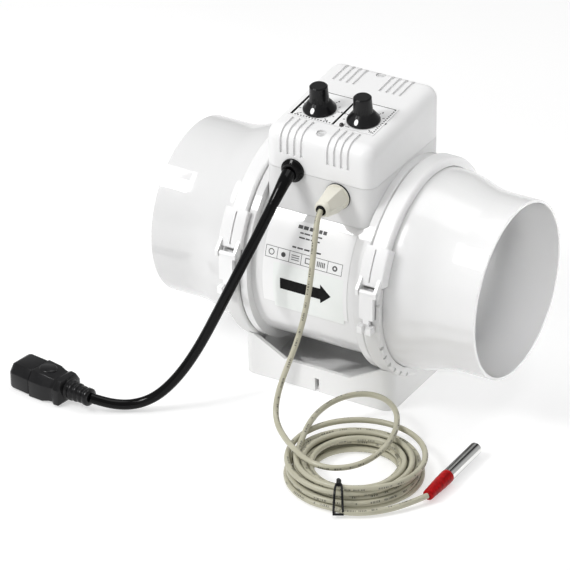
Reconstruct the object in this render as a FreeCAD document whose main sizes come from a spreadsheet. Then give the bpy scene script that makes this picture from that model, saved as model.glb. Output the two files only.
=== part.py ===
import FreeCAD
import Part
import math
import os
import re
import Sketcher

# Inline mixed-flow duct fan with a control box, two clamp bands and a temperature sensor on a lead.
# The duct axis runs along X with the outlet at +X. The base stands on Z = 0 and the front is -Y.

Vector = FreeCAD.Vector
Rotation = FreeCAD.Rotation
Placement = FreeCAD.Placement
X_AXIS = Vector(1, 0, 0)
Y_AXIS = Vector(0, 1, 0)
Z_AXIS = Vector(0, 0, 1)
ALONG_X = Rotation(Y_AXIS, 90)
TO_THE_FRONT = Rotation(X_AXIS, 90)

SIZES = [
    ("duct_diameter", 123, "outside diameter of both spigots"),
    ("duct_length", 246, "mouth to mouth"),
    ("spigot_wall", 2, ""),
    ("axis_height", 87, "duct axis above the base"),
    ("casing_radius", 68, "outside of the middle casing"),
    ("casing_wall", 2.4, ""),
    ("casing_length", 81, "between the two collars"),
    ("collar_radius", 74, "flange at each end of the casing"),
    ("collar_width", 5.9, ""),
    ("neck_radius", 68.8, "behind the clamped lips"),
    ("neck_width", 3.2, ""),
    ("lip_radius", 71.2, "lips held by the clamp bands"),
    ("lip_width", 3, ""),
    ("seal_width", 1.4, ""),
    ("cone_start", 60.5, "distance of the cone's wide end from the middle"),
    ("cone_end", 102, "distance of the cone's narrow end from the middle"),
    ("band_radius", 75.5, "outside of a clamp band"),
    ("band_inset", 0.6, "gap between a band and the casing collar"),
    ("band_width", 12.2, ""),
    ("band_side", 2.1, "side wall of the band's channel"),
    ("band_edge", 2, "rounding of the band's outer edges"),
    ("fit_gap", 0.4, "clearance around the clamped lips"),
    ("split_tilt", 14, "degrees that the split plane drops to the rear"),
    ("split_gap", 0.5, "degrees between band and saddle at each end"),
    ("hinge_offset", 3.9, "band hinge axis outside the band"),
    ("knuckle_radius", 3.2, ""),
    ("band_knuckle", 4.6, "length of the band's hinge knuckle"),
    ("knuckle_gap", 0.6, "between the hinge knuckles"),
    ("pin_radius", 1.5, "hinge pin"),
    ("pin_clearance", 0.05, "radial"),
    ("pad_top", 78.6, "outside radius of the raised latch pad"),
    ("pad_start", 15.6, "degrees above the front horizontal"),
    ("pad_sweep", 19.4, "degrees"),
    ("pad_width", 17.8, ""),
    ("pad_side", 2, "side wall of the pad beside the spigot"),
    ("pad_floor", 1, "clearance of the pad above the casing collar"),
    ("slot_width", 0.9, "slot in the latch pad"),
    ("slot_depth", 1.5, ""),
    ("ear_width", 2.2, "ears that hold the latch pin"),
    ("latch_face", 77.3, "inner face of the latch from the duct axis"),
    ("latch_thickness", 2.9, ""),
    ("latch_width", 10.4, ""),
    ("latch_pivot", 17.5, "latch pin above the duct axis"),
    ("latch_waist", 2, "end of the wide part below the duct axis"),
    ("latch_drop", 11.5, "latch end below the duct axis"),
    ("tongue_width", 4.4, ""),
    ("thumb_height", 5, "cross bar at the end of the latch"),
    ("thumb_reach", 2.9, "how far the cross bar stands out"),
    ("thumb_groove", 2.8, "between the two halves of the cross bar"),
    ("latch_pin_radius", 1.1, ""),
    ("latch_play", 0.3, "gap at each side of the latch"),
    ("cheek_reach", 76.6, "catch ribs from the duct axis"),
    ("cheek_drop", 11, "catch ribs below the duct axis"),
    ("guard_width", 2.2, "rib beside the latch"),
    ("nick_count", 6, "nicks in the outer edge of a saddle"),
    ("nick_start", 22, "degrees below the front horizontal"),
    ("nick_pitch", 8, "degrees"),
    ("nick_width", 2.6, ""),
    ("nick_depth", 3, ""),
    ("nick_reach", 1.4, "along the duct"),
    ("base_length", 114, ""),
    ("base_width", 104, ""),
    ("base_height", 31, "top of the base walls"),
    ("base_wall", 3, ""),
    ("base_corner", 8, ""),
    ("window_sill", 18, "height of the wall under the windows"),
    ("window_bottom", 50, "length of the window sill"),
    ("window_top", 98, "length of the window at the top of the walls"),
    ("foot_spacing_x", 64, "mounting holes along the duct"),
    ("foot_spacing_y", 80, "mounting holes across the duct"),
    ("foot_hole", 2.75, "mounting hole radius"),
    ("notch_width", 3, "slot at the foot of the front and rear wall"),
    ("notch_height", 10, ""),
    ("box_length", 81, "control box along the duct"),
    ("box_front", 50.5, "front wall in front of the duct axis"),
    ("box_rear", 45, "rear wall behind the duct axis"),
    ("box_split", 162.5, "joint between box and lid above the ground"),
    ("box_top", 191, "lid height at the front wall"),
    ("box_tilt", 5, "slope of the lid top in degrees"),
    ("box_wall", 2.4, ""),
    ("box_corner", 9, ""),
    ("lid_front_edge", 10, "rounding of the lid's front top edge"),
    ("lid_rear_edge", 8, ""),
    ("louvre_width", 2.2, ""),
    ("louvre_depth", 1.2, ""),
    ("louvre_pitch", 5.1, ""),
    ("louvre_middle", -1.9, "middle between the two groups of louvres"),
    ("louvre_offset", 9.9, "first louvre of a group from that middle"),
    ("panel_length", 64, ""),
    ("panel_depth", 35, "across the duct"),
    ("panel_middle", -0.8, "along the duct"),
    ("panel_centre", -13.7, "across the duct"),
    ("panel_thickness", 1.2, ""),
    ("knob_spacing", 33, ""),
    ("knob_line", -18, "knob axes across the duct"),
    ("knob_skirt", 11.3, "radius"),
    ("knob_skirt_height", 5, ""),
    ("knob_cap", 6.6, "radius"),
    ("knob_height", 18, ""),
    ("knob_gap", 0.5, "between knob and panel"),
    ("spindle_radius", 3, ""),
    ("knob_hole", 3.7, "radius of the holes under the knobs"),
    ("box_seam", 0.2, "joint between box and lid"),
    ("screw_place", -1.3, "lid screws along the duct"),
    ("screw_front", -42.5, "front lid screw across the duct"),
    ("screw_rear", 37, "rear lid screw across the duct"),
    ("screw_boss", 4.2, "radius"),
    ("screw_head", 2.9, "radius"),
    ("screw_shank", 1.2, "radius"),
    ("screw_depth", 10, "below the joint"),
    ("screw_sink", 1.7, "lid screws below the lid's top"),
    ("lamp_radius", 1.5, ""),
    ("lamp_place", 6.5, "along the duct"),
    ("lamp_line", -29.5, "across the duct"),
    ("board_lift", 6, "board above the joint of box and lid"),
    ("board_gap", 3.1, "between the board and the side walls"),
    ("board_front_gap", 15.1, "between the board and the front wall"),
    ("board_depth", 62, ""),
    ("board_thickness", 1.6, ""),
    ("post_inset", 5, "board posts from the board's edges"),
    ("post_radius", 3, ""),
    ("wire_hole_radius", 5, "between motor space and box"),
    ("wire_hole_place", 24, ""),
    ("motor_radius", 33, "motor housing"),
    ("motor_length", 40, ""),
    ("motor_start", -4, "front face of the motor housing along the duct"),
    ("motor_wall", 2.5, ""),
    ("shaft_radius", 3, ""),
    ("bearing_radius", 8, ""),
    ("bearing_width", 5, ""),
    ("rotor_radius", 15, ""),
    ("air_gap", 0.6, ""),
    ("stack_length", 20, ""),
    ("vane_count", 7, ""),
    ("vane_thickness", 1.6, ""),
    ("vane_length", 30, ""),
    ("vane_camber", 9, "sideways bend of a vane's leading edge"),
    ("blade_count", 9, ""),
    ("blade_thickness", 1.8, ""),
    ("blade_camber", -16, "sideways bend of a blade's leading edge"),
    ("impeller_radius", 64, ""),
    ("impeller_length", 30, ""),
    ("impeller_gap", 2, "between impeller and motor housing"),
    ("hub_inlet_radius", 22, ""),
    ("hub_outlet_radius", 32, ""),
    ("label_length", 64, ""),
    ("label_thickness", 0.25, ""),
    ("label_glue", 0.05, "between casing and label"),
    ("label_sweep", 52, "degrees"),
    ("label_turn", 78, "degrees from the top to the label's middle"),
    ("mains_diameter", 7, ""),
    ("sensor_diameter", 3.9, ""),
    ("bushing_radius", 8.2, "black mains bushing"),
    ("bushing_place", -18, "along the duct"),
    ("bushing_height", 163.6, ""),
    ("bushing_reach", 6, "out of the front wall"),
    ("gland_radius", 8.9, "sensor gland at the box"),
    ("gland_tip_radius", 5.4, ""),
    ("gland_length", 22.5, ""),
    ("gland_place", 15.6, "along the duct"),
    ("gland_height", 153, ""),
    ("coil_inner", 27, ""),
    ("coil_outer", 49, ""),
    ("coil_height", 15.5, ""),
    ("coil_place_x", 74, ""),
    ("coil_place_y", -131, ""),
    ("tie_wire", 1.2, ""),
    ("tie_width", 3, ""),
    ("tie_turn", -74, "place of the tie around the coil in degrees"),
    ("shrink_radius", 4.7, "red heat-shrink over the probe's end"),
    ("shrink_length", 27.5, ""),
    ("probe_radius", 4.4, ""),
    ("probe_length", 39, ""),
    ("plug_length", 64, "appliance connector with its boot"),
    ("plug_width", 24.2, "nose"),
    ("plug_height", 16, "nose"),
    ("plug_nose", 15, "length of the nose"),
    ("plug_boot", 22, "length of the ribbed boot"),
    ("plug_grip", 1.3, "how much the grip is thicker than the nose, all round"),
    ("plug_turn", 171, "heading of the connector in degrees"),
]

doc = FreeCAD.newDocument("InlineDuctFan")
sheet = doc.addObject("Spreadsheet::Sheet", "Sizes")
for row, (alias, value, note) in enumerate(SIZES, start=1):
    sheet.set(f"A{row}", alias)
    sheet.set(f"B{row}", str(value))
    sheet.setAlias(f"B{row}", alias)
    sheet.set(f"C{row}", note)
doc.recompute()

ALIASES = {alias for alias, value, note in SIZES}
nodes = {}


def formula(text):
    """Expression for another object: every alias gets the sheet's name in front."""
    return re.sub(r"[a-z_]+", lambda word: f"Sizes.{word[0]}" if word[0] in ALIASES else word[0], str(text))


def number(text):
    """Value of a formula over the sheet's cells, worked out by the sheet itself."""
    sheet.set("E1", f"={text}")
    sheet.recompute()
    return float(sheet.get("E1"))


def bind(item, **properties):
    """Bind properties, with a double underscore for each dot of their path."""
    for name, text in properties.items():
        item.setExpression(name.replace("__", "."), formula(text))
    return item


def node(label, item):
    """Name a finished sub-part."""
    item.Label = label
    nodes[label] = item
    return item


# ---------------------------------------------------------------- Part primitives and booleans

def put(item, at, rotation=None):
    if rotation is not None:
        item.Placement = Placement(Vector(), rotation)
    x, y, z = at
    return bind(item, Placement__Base__x=x, Placement__Base__y=y, Placement__Base__z=z)


def block(name, size, at, rotation=None):
    """Box whose bottom face is centred on the point."""
    item = doc.addObject("Part::Box", name)
    length, width, height = size
    bind(item, Length=length, Width=width, Height=height)
    x, y, z = at
    return put(item, (f"{x} - ({length}) / 2", f"{y} - ({width}) / 2", z), rotation)


def rod(name, radius, height, at, rotation=None):
    item = doc.addObject("Part::Cylinder", name)
    bind(item, Radius=radius, Height=height)
    return put(item, at, rotation)


def fuse(name, *items):
    item = doc.addObject("Part::MultiFuse", name)
    item.Shapes = list(items)
    item.Refine = True
    return item


def cut(name, base, *tools):
    for count, tool in enumerate(tools):
        result = doc.addObject("Part::Cut", name if count == len(tools) - 1 else f"{name}Step")
        result.Base = base
        result.Tool = tool
        base = result
    return base


def mirrored(name, source):
    """Inlet copy of an outlet piece."""
    item = doc.addObject("Part::Mirroring", name)
    item.Source = source
    item.Normal = X_AXIS
    return item


def feature(name, shape, placement=None):
    item = doc.addObject("Part::Feature", name)
    item.Shape = shape
    if placement is not None:
        item.Placement = placement
    return item


# ---------------------------------------------------------------- PartDesign bodies

def new_body(name):
    return doc.addObject("PartDesign::Body", name)


def new_sketch(body, role, name):
    plane = next(item for item in body.Origin.OriginFeatures if item.Role == role)
    sketch = body.newObject("Sketcher::SketchObject", name)
    sketch.AttachmentSupport = [(plane, "")]
    sketch.MapMode = "FlatFace"
    return sketch


def pin_point(sketch, edge, end, corner):
    """Tie one end of an edge to a corner given by two formulas."""
    for kind, text in zip(("DistanceX", "DistanceY"), corner):
        item = sketch.addConstraint(Sketcher.Constraint(kind, -1, 1, edge, end, number(text)))
        sketch.setExpression(f"Constraints[{item}]", formula(text))


def outline(sketch, corners):
    """Closed outline of straight edges through the corners."""
    points = [Vector(number(across), number(up), 0) for across, up in corners]
    count = len(points)
    for index in range(count):
        sketch.addGeometry(Part.LineSegment(points[index], points[(index + 1) % count]), False)
    for index in range(count):
        sketch.addConstraint(Sketcher.Constraint("Coincident", index, 2, (index + 1) % count, 1))
        pin_point(sketch, index, 1, corners[index])


def spin(body, sketch, angle=None):
    """Revolve a sketch about its own horizontal axis."""
    item = body.newObject("PartDesign::Revolution", f"{body.Name}Revolution")
    item.Profile = sketch
    item.ReferenceAxis = (sketch, ["H_Axis"])
    item.Angle = 360
    if angle is not None:
        item.Midplane = True
        bind(item, Angle=angle)
    body.Tip = item
    return item


def ring(name, corners, angle=None, turn="0"):
    """Ring about the duct axis. The corners are pairs of place along the duct and radius. A part ring
    of the given angle is centred above the axis, then turned about it towards the rear."""
    body = new_body(name)
    sketch = new_sketch(body, "XZ_Plane", f"{name}Profile")
    outline(sketch, corners)
    spin(body, sketch, angle)
    body.Placement = Placement(Vector(), Rotation(X_AXIS, -number(turn)))
    return bind(body, Placement__Base__z="axis_height")


def round_edges(body, wanted, radius):
    """Fillet the edges of a body's last feature that the test picks."""
    doc.recompute()
    last = body.Tip
    names = [f"Edge{index}" for index, edge in enumerate(last.Shape.Edges, start=1) if wanted(edge)]
    item = body.newObject("PartDesign::Fillet", f"{body.Name}Fillet")
    item.Base = (last, names)
    bind(item, Radius=radius)
    body.Tip = item
    return item


def circle_of(radius, places):
    """Test for round edges about the duct axis with a radius, at places along the duct."""
    def test(edge):
        if not isinstance(edge.Curve, Part.Circle) or abs(edge.Curve.Radius - radius) > 0.01:
            return False
        return any(abs(edge.Curve.Center.x - place) < 0.01 for place in places)
    return test


# ---------------------------------------------------------------- casing, seals and spigots

BORE = "casing_radius - casing_wall"
COLLAR_IN = "casing_length / 2"
COLLAR_OUT = f"{COLLAR_IN} + collar_width"
CASING_LIP = f"{COLLAR_OUT} + neck_width"
CASING_END = f"{CASING_LIP} + lip_width"
SPIGOT_START = f"{CASING_END} + seal_width"
SPIGOT_LIP = f"{SPIGOT_START} + lip_width"
BAND_IN = f"{COLLAR_OUT} + band_inset"
BAND_OUT = f"{BAND_IN} + band_width"
BAND_MIDDLE = f"{BAND_IN} + band_width / 2"


def make_casing():
    half = [(CASING_END, BORE), (CASING_END, "lip_radius"), (CASING_LIP, "lip_radius"),
            (CASING_LIP, "neck_radius"), (COLLAR_OUT, "neck_radius"), (COLLAR_OUT, "collar_radius"),
            (COLLAR_IN, "collar_radius"), (COLLAR_IN, "casing_radius")]
    other_half = [(f"-({place})", radius) for place, radius in reversed(half)]
    tube = ring("CasingTube", half + other_half)
    edges = circle_of(number("collar_radius"), [number(COLLAR_OUT), -number(COLLAR_OUT)])
    round_edges(tube, edges, "1.2")
    wire_hole = rod("CasingWireHole", "wire_hole_radius", "12",
                    ("wire_hole_place", "0", "axis_height + casing_radius - 8"))
    return node("casing", cut("Casing", tube, wire_hole))


def add_cone_curve(sketch, wide_radius, narrow_radius):
    """Two tangent arcs of one radius from the wide to the narrow end of the cone, flat at both ends."""
    start = Vector(number("cone_start"), number(wide_radius), 0)
    end = Vector(number("cone_end"), number(narrow_radius), 0)
    fall = start.y - end.y
    run = end.x - start.x
    bend = (run ** 2 + fall ** 2) / (4 * fall)
    half_turn = math.asin(run / 2 / bend)
    up = math.pi / 2
    wide = Part.ArcOfCircle(Part.Circle(Vector(start.x, start.y - bend, 0), Z_AXIS, bend), up - half_turn, up)
    narrow = Part.ArcOfCircle(Part.Circle(Vector(end.x, end.y + bend, 0), Z_AXIS, bend),
                              -up - half_turn, -up)
    first = sketch.addGeometry(wide, False)
    second = sketch.addGeometry(narrow, False)
    sketch.addConstraint(Sketcher.Constraint("Tangent", first, 1, second, 1))
    sketch.addConstraint(Sketcher.Constraint("Vertical", first, 3, first, 2))
    sketch.addConstraint(Sketcher.Constraint("Vertical", second, 3, second, 2))
    sketch.addConstraint(Sketcher.Constraint("Equal", first, second))
    pin_point(sketch, first, 2, ("cone_start", wide_radius))
    pin_point(sketch, second, 2, ("cone_end", narrow_radius))
    return first, second


def add_run(sketch, corners):
    """Open run of straight edges through the corners, with its two loose ends left to be joined."""
    edges = []
    for start, end in zip(corners, corners[1:]):
        points = [Vector(number(across), number(up), 0) for across, up in (start, end)]
        edges.append(sketch.addGeometry(Part.LineSegment(*points), False))
    for edge, corner in zip(edges[1:], corners[1:]):
        sketch.addConstraint(Sketcher.Constraint("Coincident", edge - 1, 2, edge, 1))
        pin_point(sketch, edge, 1, corner)
    return edges


def make_spigots():
    body = new_body("OutletSpigot")
    sketch = new_sketch(body, "XZ_Plane", "OutletSpigotProfile")
    outer, inner = "duct_diameter / 2", "duct_diameter / 2 - spigot_wall"
    wide_inner = "neck_radius - spigot_wall"
    outer_curve = add_cone_curve(sketch, "neck_radius", outer)
    inner_curve = add_cone_curve(sketch, wide_inner, inner)
    lip = add_run(sketch, [("cone_start", wide_inner), (SPIGOT_START, wide_inner),
                           (SPIGOT_START, "lip_radius"), (SPIGOT_LIP, "lip_radius"),
                           (SPIGOT_LIP, "neck_radius"), ("cone_start", "neck_radius")])
    mouth = add_run(sketch, [("cone_end", outer), ("duct_length / 2", outer), ("duct_length / 2", inner),
                             ("cone_end", inner)])
    joints = [(inner_curve[0], 2, lip[0], 1), (lip[-1], 2, outer_curve[0], 2),
              (outer_curve[1], 2, mouth[0], 1), (mouth[-1], 2, inner_curve[1], 2)]
    for joint in joints:
        sketch.addConstraint(Sketcher.Constraint("Coincident", *joint))
    spin(body, sketch)
    bind(body, Placement__Base__z="axis_height")
    edges = circle_of(number(outer), [number("duct_length / 2")])
    round_edges(body, edges, "0.6")
    node("outlet_spigot", body)
    node("inlet_spigot", mirrored("InletSpigot", body))


def make_seals():
    inner = "casing_radius + 0.2"
    seal = ring("OutletSeal", [(CASING_END, inner), (SPIGOT_START, inner), (SPIGOT_START, "lip_radius"),
                               (CASING_END, "lip_radius")])
    node("outlet_seal", seal)
    node("inlet_seal", mirrored("InletSeal", seal))


# ---------------------------------------------------------------- clamp bands and latches

def channel(name, angle, turn):
    """Clamp channel around the two lips: the upper half is a band, the lower half a saddle."""
    side = "neck_radius + fit_gap"
    floor = "lip_radius + fit_gap"
    body = ring(name, [(BAND_IN, side), (f"{BAND_IN} + band_side", side), (f"{BAND_IN} + band_side", floor),
                       (f"{BAND_OUT} - band_side", floor), (f"{BAND_OUT} - band_side", side),
                       (BAND_OUT, side), (BAND_OUT, "band_radius"), (BAND_IN, "band_radius")], angle, turn)
    edges = circle_of(number("band_radius"), [number(BAND_IN), number(BAND_OUT)])
    round_edges(body, edges, "band_edge")
    return body


HINGE_RADIUS = "(band_radius + hinge_offset)"
HINGE_Y = f"{HINGE_RADIUS} * cos(split_tilt * 1deg)"
HINGE_Z = f"axis_height - {HINGE_RADIUS} * sin(split_tilt * 1deg)"
BAND_SWEEP = "180 - 2 * split_gap"
KNUCKLE_WEB = "hinge_offset + 2"


def knuckle(name, start, length, side):
    """Hinge barrel about the hinge axis, with a web into the band (side 1) or the saddle (side -1)."""
    barrel = rod(f"{name}Barrel", "knuckle_radius", length, (start, HINGE_Y, HINGE_Z), ALONG_X)
    web = doc.addObject("Part::Box", f"{name}Web")
    bind(web, Length=length, Width=KNUCKLE_WEB, Height="knuckle_radius - 0.3")
    web.Placement = Placement(Vector(), Rotation(X_AXIS, -number("split_tilt")))
    low = "0.3" if side > 0 else "-knuckle_radius"
    reach = "band_radius - 2"
    tilt = "(split_tilt * 1deg)"
    put(web, (start, f"({reach}) * cos{tilt} + ({low}) * sin{tilt}",
              f"axis_height - ({reach}) * sin{tilt} + ({low}) * cos{tilt}"), web.Placement.Rotation)
    return fuse(name, barrel, web)


BAND_KNUCKLE_START = f"{BAND_MIDDLE} - band_knuckle / 2"
SADDLE_KNUCKLE = "(band_width - band_knuckle - 2 * knuckle_gap) / 2"


def pin_hole(name):
    return rod(name, "pin_radius + pin_clearance", "band_width + 4",
               (f"{BAND_IN} - 2", HINGE_Y, HINGE_Z), ALONG_X)


PIVOT_Y = "-(latch_face + latch_thickness / 2)"
PIVOT_Z = "axis_height + latch_pivot"


def polar(radius, angle):
    """Pair of formulas, across and up from the duct axis, for a point in front of it."""
    return f"-({radius}) * cos(({angle}) * 1deg)", f"({radius}) * sin(({angle}) * 1deg)"


def plate(name, role, corners, thickness):
    """Flat piece with a straight-edged outline on one of the origin planes, thick to both sides of it."""
    body = new_body(name)
    sketch = new_sketch(body, role, f"{name}Outline")
    outline(sketch, corners)
    pad = body.newObject("PartDesign::Pad", f"{name}Pad")
    pad.Profile = sketch
    pad.Midplane = True
    bind(pad, Length=thickness)
    body.Tip = pad
    return body


def latch_ear(name, place):
    """Ear under the pad that holds one end of the latch pin, clear of the saddle below it."""
    front = f"{PIVOT_Y} - latch_pin_radius - 1.1"
    corners = [(front, "latch_pivot - 2.2"), polar("band_radius + 0.6", "split_tilt - 2"),
               polar("collar_radius + pad_floor", "pad_start + 2"), polar("pad_top", "pad_start + 4"),
               (front, "latch_pivot + 2")]
    return bind(plate(name, "YZ_Plane", corners, "ear_width"),
                Placement__Base__x=place, Placement__Base__z="axis_height")


def make_bands():
    band = channel("OutletBandChannel", BAND_SWEEP, "split_tilt")
    pad_turn = "-(90 - pad_start - pad_sweep / 2)"
    low, high = f"{BAND_MIDDLE} - pad_width / 2", f"{BAND_MIDDLE} + pad_width / 2"
    underside = "collar_radius + pad_floor"
    side_foot = "neck_radius + fit_gap"
    section = [(low, underside), (f"{high} - pad_side", underside), (f"{high} - pad_side", side_foot),
               (high, side_foot), (high, "pad_top"), (low, "pad_top")]
    pad = ring("LatchPad", section, "pad_sweep", pad_turn)
    round_edges(pad, circle_of(number("pad_top"), [number(low), number(high)]), "1.2")
    slot_floor = "pad_top - slot_depth"
    slot_start = f"{BAND_MIDDLE} - slot_width"
    section = [(slot_start, slot_floor), (BAND_MIDDLE, slot_floor), (BAND_MIDDLE, "pad_top + 1"),
               (slot_start, "pad_top + 1")]
    slot = ring("LatchPadSlot", section, "pad_sweep - 3", pad_turn)
    ear_place = "(latch_width + ear_width) / 2 + latch_play"
    ears = [latch_ear("LatchEarIn", f"{BAND_MIDDLE} - ({ear_place})"),
            latch_ear("LatchEarOut", f"{BAND_MIDDLE} + {ear_place}")]
    pin_length = "latch_width + 2 * (latch_play + ear_width)"
    pin_start = f"{BAND_MIDDLE} - ({pin_length}) / 2"
    hole = rod("LatchPinHole", "latch_pin_radius", f"{pin_length} + 2",
               (f"{pin_start} - 1", PIVOT_Y, PIVOT_Z), ALONG_X)
    barrel = knuckle("BandKnuckle", BAND_KNUCKLE_START, "band_knuckle", 1)
    solid = fuse("OutletBandSolid", band, pad, barrel, *ears)
    band = cut("OutletBand", solid, slot, hole, pin_hole("BandPinHole"))
    node("outlet_clamp_band", band)
    node("inlet_clamp_band", mirrored("InletBand", band))
    pin = rod("OutletHingePin", "pin_radius", "band_width - 0.4",
              (f"{BAND_IN} + 0.2", HINGE_Y, HINGE_Z), ALONG_X)
    node("outlet_hinge_pin", pin)
    node("inlet_hinge_pin", mirrored("InletHingePin", pin))
    pin = rod("OutletLatchPin", "latch_pin_radius", pin_length, (pin_start, PIVOT_Y, PIVOT_Z), ALONG_X)
    node("outlet_latch_pin", pin)
    node("inlet_latch_pin", mirrored("InletLatchPin", pin))


def make_latches():
    """Lever that hangs from its pin over the catch ribs: a plate with a narrow waist, and a cross bar
    in two halves at its end."""
    wide, narrow = "latch_width / 2", "tongue_width / 2"
    waist, bar = "-latch_waist", "-latch_drop + thumb_height"
    right = [(wide, "latch_pivot"), (wide, waist), (narrow, waist), (narrow, bar), (wide, bar),
             (wide, "-latch_drop")]
    left = [(f"-({across})", up) for across, up in reversed(right)]
    lever = bind(plate("LatchPlate", "XZ_Plane", right + left, "latch_thickness"),
                 Placement__Base__x=BAND_MIDDLE, Placement__Base__y=PIVOT_Y, Placement__Base__z="axis_height")
    barrel = rod("LatchBarrel", "latch_thickness / 2 + 0.3", "latch_width",
                 (f"{BAND_MIDDLE} - latch_width / 2", PIVOT_Y, PIVOT_Z), ALONG_X)
    thumb_line = "-(latch_face + latch_thickness + thumb_reach / 2)"
    thumb = block("LatchThumb", ("latch_width", "thumb_reach", "thumb_height"),
                  (BAND_MIDDLE, thumb_line, "axis_height - latch_drop"))
    groove = block("LatchThumbGroove", ("thumb_groove", "thumb_reach + 2", "thumb_height + 2"),
                   (BAND_MIDDLE, thumb_line, "axis_height - latch_drop - 1"))
    hole = rod("LatchBore", "latch_pin_radius + pin_clearance", "latch_width + 2",
               (f"{BAND_MIDDLE} - latch_width / 2 - 1", PIVOT_Y, PIVOT_Z), ALONG_X)
    solid = fuse("OutletLatchSolid", lever, barrel, thumb)
    latch = cut("OutletLatch", solid, groove, hole)
    node("outlet_latch", latch)
    node("inlet_latch", mirrored("InletLatch", latch))


# ---------------------------------------------------------------- base bracket

def rounded_slab(name, length, width, height, corner, lift="0"):
    """Upright block about the Z axis with round corners."""
    body = new_body(name)
    sketch = new_sketch(body, "XY_Plane", f"{name}Outline")
    x, y = f"({length}) / 2", f"({width}) / 2"
    outline(sketch, [(x, y), (f"-{x}", y), (f"-{x}", f"-{y}"), (x, f"-{y}")])
    pad = body.newObject("PartDesign::Pad", f"{name}Pad")
    pad.Profile = sketch
    bind(pad, Length=height)
    body.Tip = pad
    round_edges(body, lambda edge: abs(edge.tangentAt(edge.FirstParameter).z) > 0.99, corner)
    return bind(body, Placement__Base__z=lift)


def make_tray():
    """Open box with a floor, four walls and a wide window at the front and the rear."""
    outside = rounded_slab("BaseOutside", "base_length", "base_width", "base_height", "base_corner")
    inside = rounded_slab("BaseInside", "base_length - 2 * base_wall", "base_width - 2 * base_wall",
                          "base_height", "base_corner - base_wall", "base_wall")
    low, high, top = "window_bottom / 2", "window_top / 2", "base_height + 5"
    window = plate("BaseWindow", "XZ_Plane",
                   [(low, "window_sill"), (high, "base_height"), (high, top), (f"-{high}", top),
                    (f"-{high}", "base_height"), (f"-{low}", "window_sill")], "base_width + 10")
    size = ("base_wall", "base_width - 24", "base_height - 6")
    place = f"({BAND_IN} + base_wall / 2)"
    ribs = [block("OutletRib", size, (place, "0", "0")), block("InletRib", size, (f"-{place}", "0", "0"))]
    tray = fuse("BaseRibbed", cut("BaseTray", outside, inside, window), *ribs)
    return cut("BaseWalls", tray,
               rod("BaseDuctRoom", "neck_radius + fit_gap", "base_length + 10",
                   ("-(base_length / 2 + 5)", "0", "axis_height"), ALONG_X),
               rod("OutletGroove", "lip_radius + fit_gap", "band_width - 2 * band_side",
                   (f"{BAND_IN} + band_side", "0", "axis_height"), ALONG_X),
               rod("InletGroove", "lip_radius + fit_gap", "band_width - 2 * band_side",
                   (f"-({BAND_OUT} - band_side)", "0", "axis_height"), ALONG_X),
               rod("BaseCollarRoom", "collar_radius + 0.6", f"2 * ({BAND_IN})",
                   (f"-({BAND_IN})", "0", "axis_height"), ALONG_X))


def make_catch():
    """Two catch ribs behind the latch and a longer rib beside it, at the front of a saddle."""
    width = "(band_width - tongue_width - 1) / 2"
    depth = "cheek_reach - band_radius + 2"
    size = (width, depth, "cheek_drop - latch_waist - 0.5")
    y = f"-(cheek_reach - ({depth}) / 2)"
    bottom = "axis_height - cheek_drop"
    guard_place = f"{BAND_MIDDLE} + latch_width / 2 + latch_play + guard_width / 2"
    pieces = [block("CheekIn", size, (f"{BAND_IN} + {width} / 2", y, bottom)),
              block("CheekOut", size, (f"{BAND_OUT} - {width} / 2", y, bottom)),
              block("CatchGuard", ("guard_width", depth, "cheek_drop + 8"), (guard_place, y, bottom))]
    room = rod("CatchRoom", "lip_radius + fit_gap + 2", "band_width + 8",
               (f"{BAND_IN} - 4", "0", "axis_height"), ALONG_X)
    return cut("Catch", fuse("CatchSolid", *pieces), room)


def saddle_nicks():
    """Small nicks along the lower front of a saddle's outer edge."""
    outside, width, depth = number(BAND_OUT), number("nick_width"), number("nick_depth")
    reach, lowest = number("nick_reach"), number("band_radius - nick_depth")
    corner = Vector(outside - reach, -lowest - depth - 2, -width / 2)
    nicks = []
    for index in range(int(number("nick_count"))):
        nick = Part.makeBox(reach + 1, depth + 2, width, corner)
        nick.rotate(Vector(), X_AXIS, number("nick_start") + number("nick_pitch") * index)
        nicks.append(nick)
    return feature("SaddleNicks", Part.makeCompound(nicks), on_axis())


def make_base():
    saddle = cut("NickedSaddle", channel("OutletSaddle", BAND_SWEEP, "split_tilt + 180"), saddle_nicks())
    knuckles = [knuckle("SaddleKnuckleIn", BAND_IN, SADDLE_KNUCKLE, -1),
                knuckle("SaddleKnuckleOut", f"{BAND_OUT} - {SADDLE_KNUCKLE}", SADDLE_KNUCKLE, -1)]
    fittings = cut("OutletFittings", fuse("OutletFittingsSolid", *knuckles), pin_hole("SaddlePinHole"))
    outlet = fuse("OutletSaddleSolid", saddle, fittings, make_catch())
    holes = []
    for index, (x, y) in enumerate(((1, 1), (-1, 1), (-1, -1), (1, -1))):
        holes.append(rod(f"FootHole{index}", "foot_hole", "base_wall + 2",
                         (f"{x} * foot_spacing_x / 2", f"{y} * foot_spacing_y / 2", "-1")))
    notch = block("BaseNotch", ("notch_width", "base_width + 10", "notch_height"), ("0", "0", "0"))
    keep = block("NotchKeep", ("notch_width + 4", "base_width - 2 * base_wall", "notch_height + 2"),
                 ("0", "0", "0"))
    solid = fuse("BaseSolid", make_tray(), outlet, mirrored("InletSaddleSolid", outlet))
    node("base_bracket", cut("BaseBracket", solid, *holes, cut("BaseNotches", notch, keep)))


# ---------------------------------------------------------------- control box

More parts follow.
